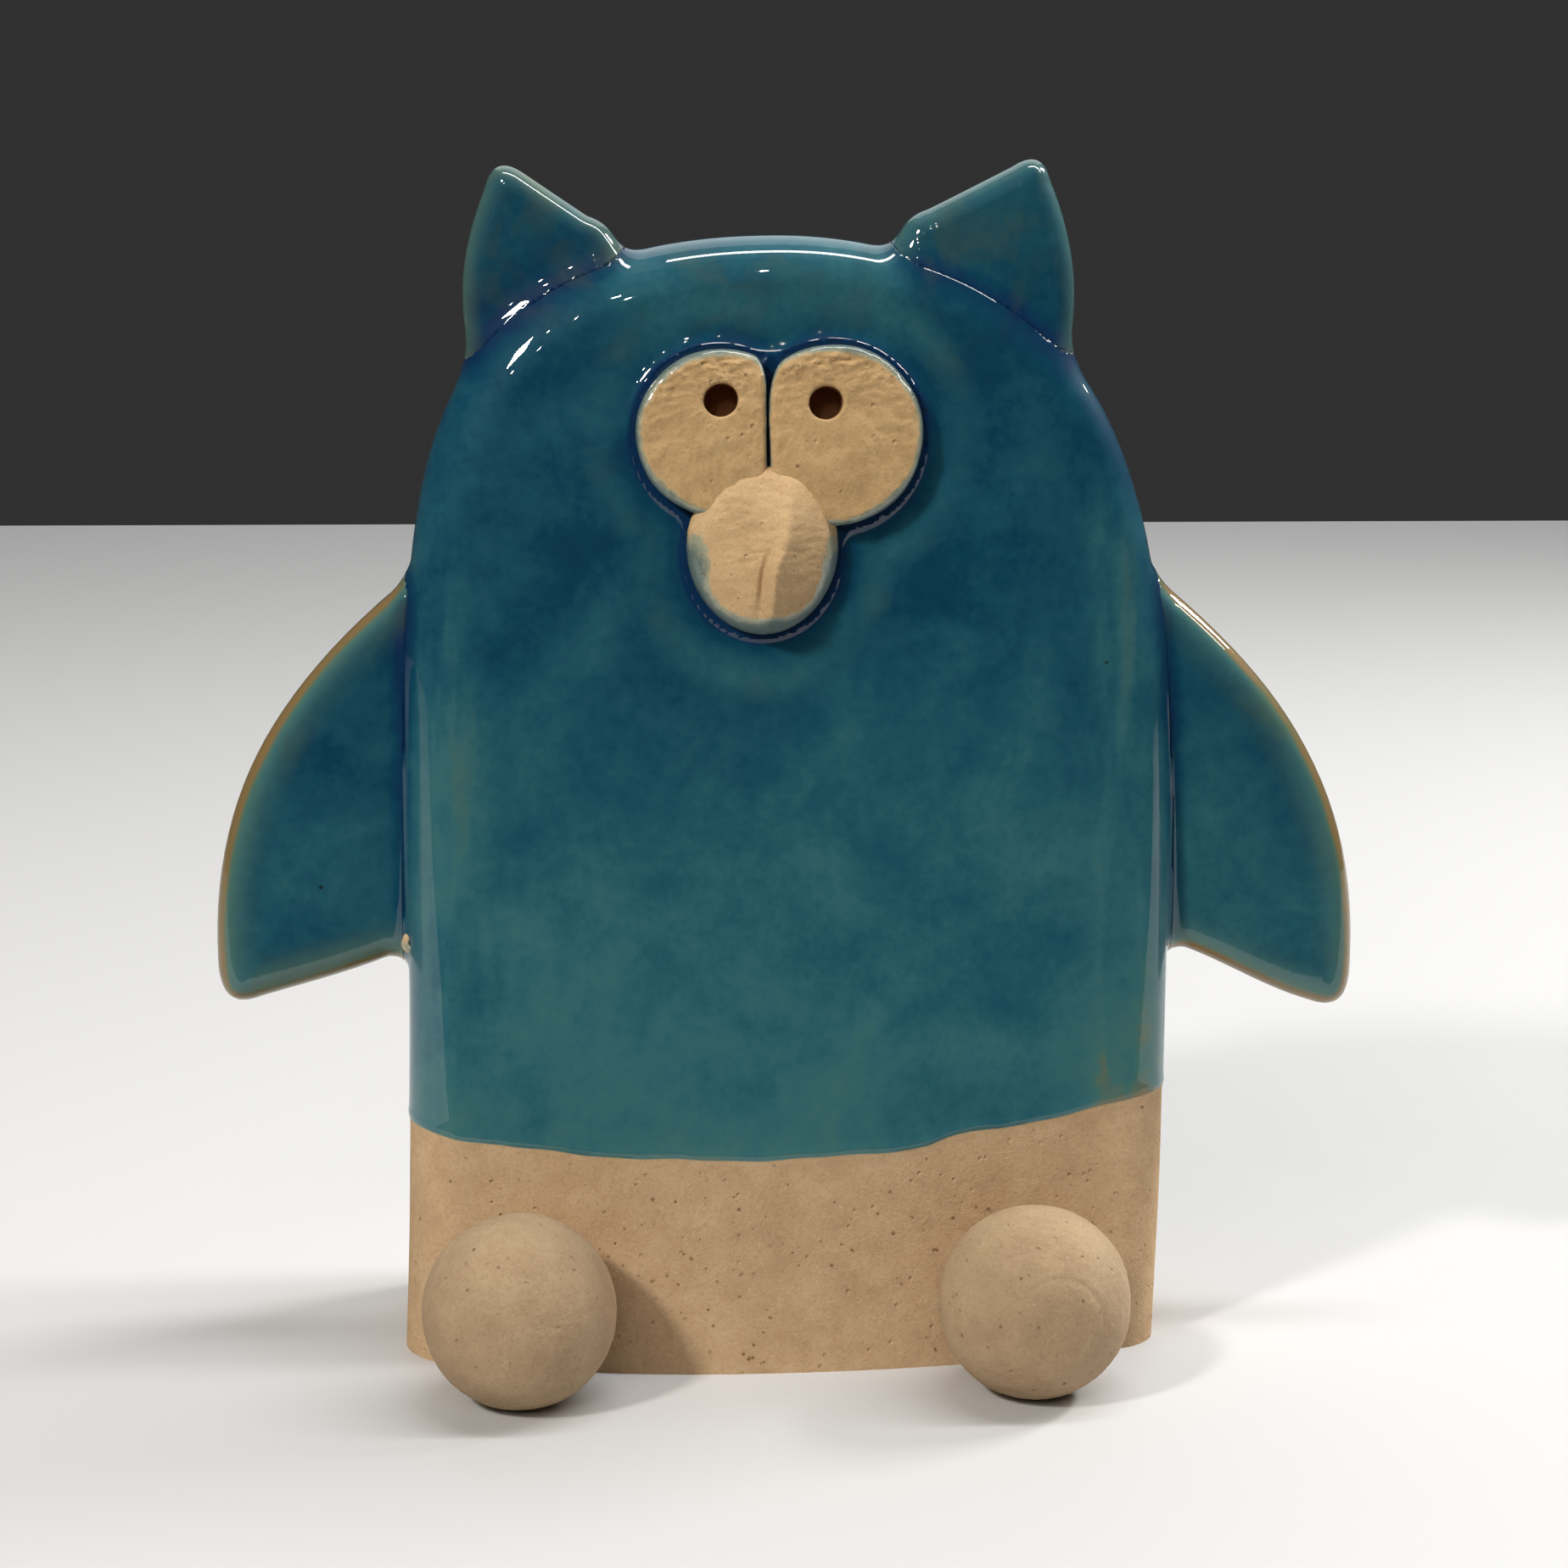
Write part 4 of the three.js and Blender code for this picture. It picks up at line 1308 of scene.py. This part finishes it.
def make_grog():
    """Grains of grog that stand out of the bare clay, more of them in one patch on the front."""
    points, faces = [], []
    for x, z, half_x, half_z, sign in GRAIN_AREAS:
        across_x = np.linspace(x - half_x, x + half_x, 41)
        up_z = np.linspace(z - half_z, z + half_z, 15)
        grid_x, grid_z = np.meshgrid(across_x, up_z)
        grid = columns(grid_x, sign * face_depth(grid_x, grid_z), grid_z)
        ids = np.arange(grid_x.size).reshape(grid_x.shape)
        faces.extend(grid_faces(ids + sum(len(p) for p in points)))
        points.append(settle(grid.reshape(-1, 3), body_surface, rounds=4))
    made = new_mesh("grog_grains", np.concatenate(points), faces)
    scatter = made.modifiers.new("grains", "NODES")
    scatter.node_group = grain_tree()
    sockets = {item.name: item.identifier for item in scatter.node_group.interface.items_tree}
    for label, _, value in GRAIN_INPUTS:
        scatter[sockets[label]] = value
    plain_result(made)
    soft_shading(made, 30)
    return piece(made, grog)


make_crumb()
make_grog()


# --------------- base slab and stopper

def slab_reach(angle):
    """How far the slab's rim is from the hole's centre, in the plan, found by halving."""
    low, high = np.zeros_like(angle), np.full_like(angle, 80.0)
    for _ in range(40):
        middle = (low + high) / 2
        x = SWAY[0] + middle * np.cos(angle)
        y = middle * np.sin(angle)
        z = np.zeros_like(x)
        depth = np.abs(y) - strip_at(z) - bulge_at(x, z) - radius_at(x, z)
        inside = rounded(body_outline(x, z + 0.01), depth, radius_at(x, z)) < -SLAB_INSET
        low, high = np.where(inside, middle, low), np.where(inside, high, middle)
    return low


def make_base():
    """The slab under the bank, with the stopper's hole and a recess for its flange."""
    count = 288
    rim = slab_reach(turns(count))
    profile = [
        (HOLE_RADIUS, SLAB_THICKNESS), (HOLE_RADIUS, RECESS_DEPTH), (RECESS_RADIUS, RECESS_DEPTH),
        (RECESS_RADIUS, 0.5), (RECESS_RADIUS + 0.15, 0.15), (RECESS_RADIUS + 0.5, 0),
        *[((RECESS_RADIUS + 0.5) * (1 - t) + (rim - 0.6) * t, 0) for t in np.linspace(0, 1, 21)[1:]],
        (rim - 0.15, 0.18), (rim, 0.6), (rim, SLAB_THICKNESS),
    ]
    points, faces = loft([level_ring(reach, z, count) for reach, z in profile], closed=True)
    dent = unevenness(points, 6, 3, 5.0) * 0.12
    flat = (points[:, 2] == 0) & (np.hypot(points[:, 0] - SWAY[0], points[:, 1]) > RECESS_RADIUS + 1)
    points[:, 2] += np.where(flat, np.abs(dent), 0)
    made = new_solid("base_slab", points, faces)
    soft_shading(made, 35)
    return piece(made, clay, nodes=["base_slab"])


def make_stopper():
    """A soft plug with a flange, hollow underneath, with a bar to pull it by."""
    neck = 12.7
    profile = [
        (8.6, 8.6), (9.0, 8.2), (9.55, 1.0), (9.9, 0.6), (15.5, 0.6), (15.9, 0.75), (16.0, 1.1), (16.0, 2.2),
        (15.8, 2.5), (15.5, 2.6), (13.1, 2.6), (neck, 2.9), (neck - 0.1, 4.2), (neck - 0.35, 4.5),
        (neck - 0.1, 4.9), (neck - 0.25, 6.6), (neck - 0.5, 6.9), (neck - 0.3, 7.3), (neck - 0.5, 9.6),
        (neck - 0.9, 10.3), (neck - 1.5, 10.6),
    ]
    rings = [level_ring(reach, z, 128) for reach, z in profile]
    made = new_solid("rubber_stopper", *loft([[SWAY[0], 0, 8.6], *rings, [SWAY[0], 0, 10.6]]))
    half_length, half_width = 9.9, 2.0
    corners = np.array([(-1, -1), (1, -1), (1, 1), (-1, 1)])
    bar_rings = []
    for z, thinner in ((8.9, 0), (1.6, 0), (1.0, 0.15), (0.75, 0.5)):
        x, y = (corners * [half_length, half_width - thinner]).T
        bar_rings.append(columns(SWAY[0] + x, y, z))
    combine(made, new_solid("stopper_bar", *capped_loft(bar_rings)), "UNION")
    soft_shading(made, 35)
    return piece(made, rubber, body=STOPPER, nodes=["stopper"])


make_base()
make_stopper()


# --------------- camera, floor and light

CAMERA_BACK = 430.0
CAMERA_HEIGHT = 150.0
CAMERA_YAW = 2.2
CAMERA_PITCH = 9.65
FOCAL_LENGTH = 72.04


def make_camera():
    """In front of the bank and above it, turned a little to the right and down."""
    lens = bpy.data.cameras.new("camera")
    lens.lens = FOCAL_LENGTH
    lens.sensor_width = 36.0
    camera = bpy.data.objects.new("camera", lens)
    bpy.context.scene.collection.objects.link(camera)
    yaw, pitch = math.radians(CAMERA_YAW), math.radians(CAMERA_PITCH)
    place = np.array([-CAMERA_BACK * math.sin(yaw), -CAMERA_BACK * math.cos(yaw), CAMERA_HEIGHT])
    camera.location = Vector((place + FRAME_SHIFT) * MM)
    forward = Vector((math.sin(yaw) * math.cos(pitch), math.cos(yaw) * math.cos(pitch), -math.sin(pitch)))
    camera.rotation_mode = "QUATERNION"
    camera.rotation_quaternion = forward.to_track_quat("-Z", "Y")
    bpy.context.scene.camera = camera


def make_floor():
    """A pale table top with rounded corners, its near edge just behind the camera's view."""
    near, far, half, corner, thickness = -150.0, 1330.0, 1300.0, 120.0, 20.0
    turn = turns(96) + math.pi / 192
    x = np.sign(np.cos(turn)) * (half - corner) + corner * np.cos(turn)
    y = np.where(np.sin(turn) > 0, far - corner, near + corner) + corner * np.sin(turn)
    top, under = columns(x, y, 0), columns(x, y, -thickness)
    points, faces = loft([[0, 0, 0], top * 0.3, top, under, [0, 0, -thickness]])
    made = new_solid("floor", points - FRAME_SHIFT, faces)
    recipe = Recipe("pale_floor")
    made.data.materials.append(recipe.finish(Base_Color=linear(200, 201, 202), Roughness=0.55))


def make_lamp(name, place, aim, size, power, colour=(1, 1, 1), size_y=None):
    """A square lamp, or a strip with its long side level, that faces the point aim."""
    light = bpy.data.lights.new(name, "AREA")
    light.shape = "RECTANGLE"
    light.size = size
    light.size_y = size_y or size
    light.energy = power
    light.color = colour
    lamp = bpy.data.objects.new(name, light)
    bpy.context.scene.collection.objects.link(lamp)
    lamp.location = place
    back = (Vector(place) - Vector(aim)).normalized()
    sideways = (Vector((1, 0, 0)) - back * back.x).normalized()
    turn = Matrix((sideways, back.cross(sideways), back)).transposed()
    lamp.rotation_mode = "QUATERNION"
    lamp.rotation_quaternion = turn.to_quaternion()


def make_light():
    world = bpy.data.worlds.new("studio")
    world.use_nodes = True
    ground = world.node_tree.nodes["Background"]
    ground.inputs["Color"].default_value = (0.030, 0.030, 0.030, 1)
    ground.inputs["Strength"].default_value = 1.0
    bpy.context.scene.world = world
    middle = (0, 0, 0.08)
    make_lamp("overhead_strip", (0.44, 0.01, 1.05), middle, 1.4, 9.6, (1, 0.99, 0.98), size_y=0.11)
    make_lamp("right_side", (0.80, 0.40, 0.66), middle, 0.10, 8.0, (1, 0.97, 0.93), size_y=0.36)
    make_lamp("left_front", (-0.64, -0.66, 0.78), middle, 0.12, 8.4, (1, 0.95, 0.88))
    small_lamps = [
        (-0.20, 0.98), (-0.36, 0.62), (-0.62, 0.70), (0.06, 1.10),
        (-0.30, 0.80), (-0.55, 0.95), (-0.10, 0.72),
    ]
    for index, (x, z) in enumerate(small_lamps):
        make_lamp(f"small_lamp_{index}", (x, -1.0, z), middle, 0.012, 0.40, (1, 0.94, 0.86))
    make_lamp("ceiling", (0.0, 1.0, 2.2), (0, 0.6, 0), 3.2, 8, (1, 0.99, 0.97))
    make_lamp("far_table", (0.1, 1.9, 1.7), (0, 1.1, 0), 2.4, 18)


make_camera()
make_floor()
make_light()
bpy.context.scene.view_settings.view_transform = "Standard"
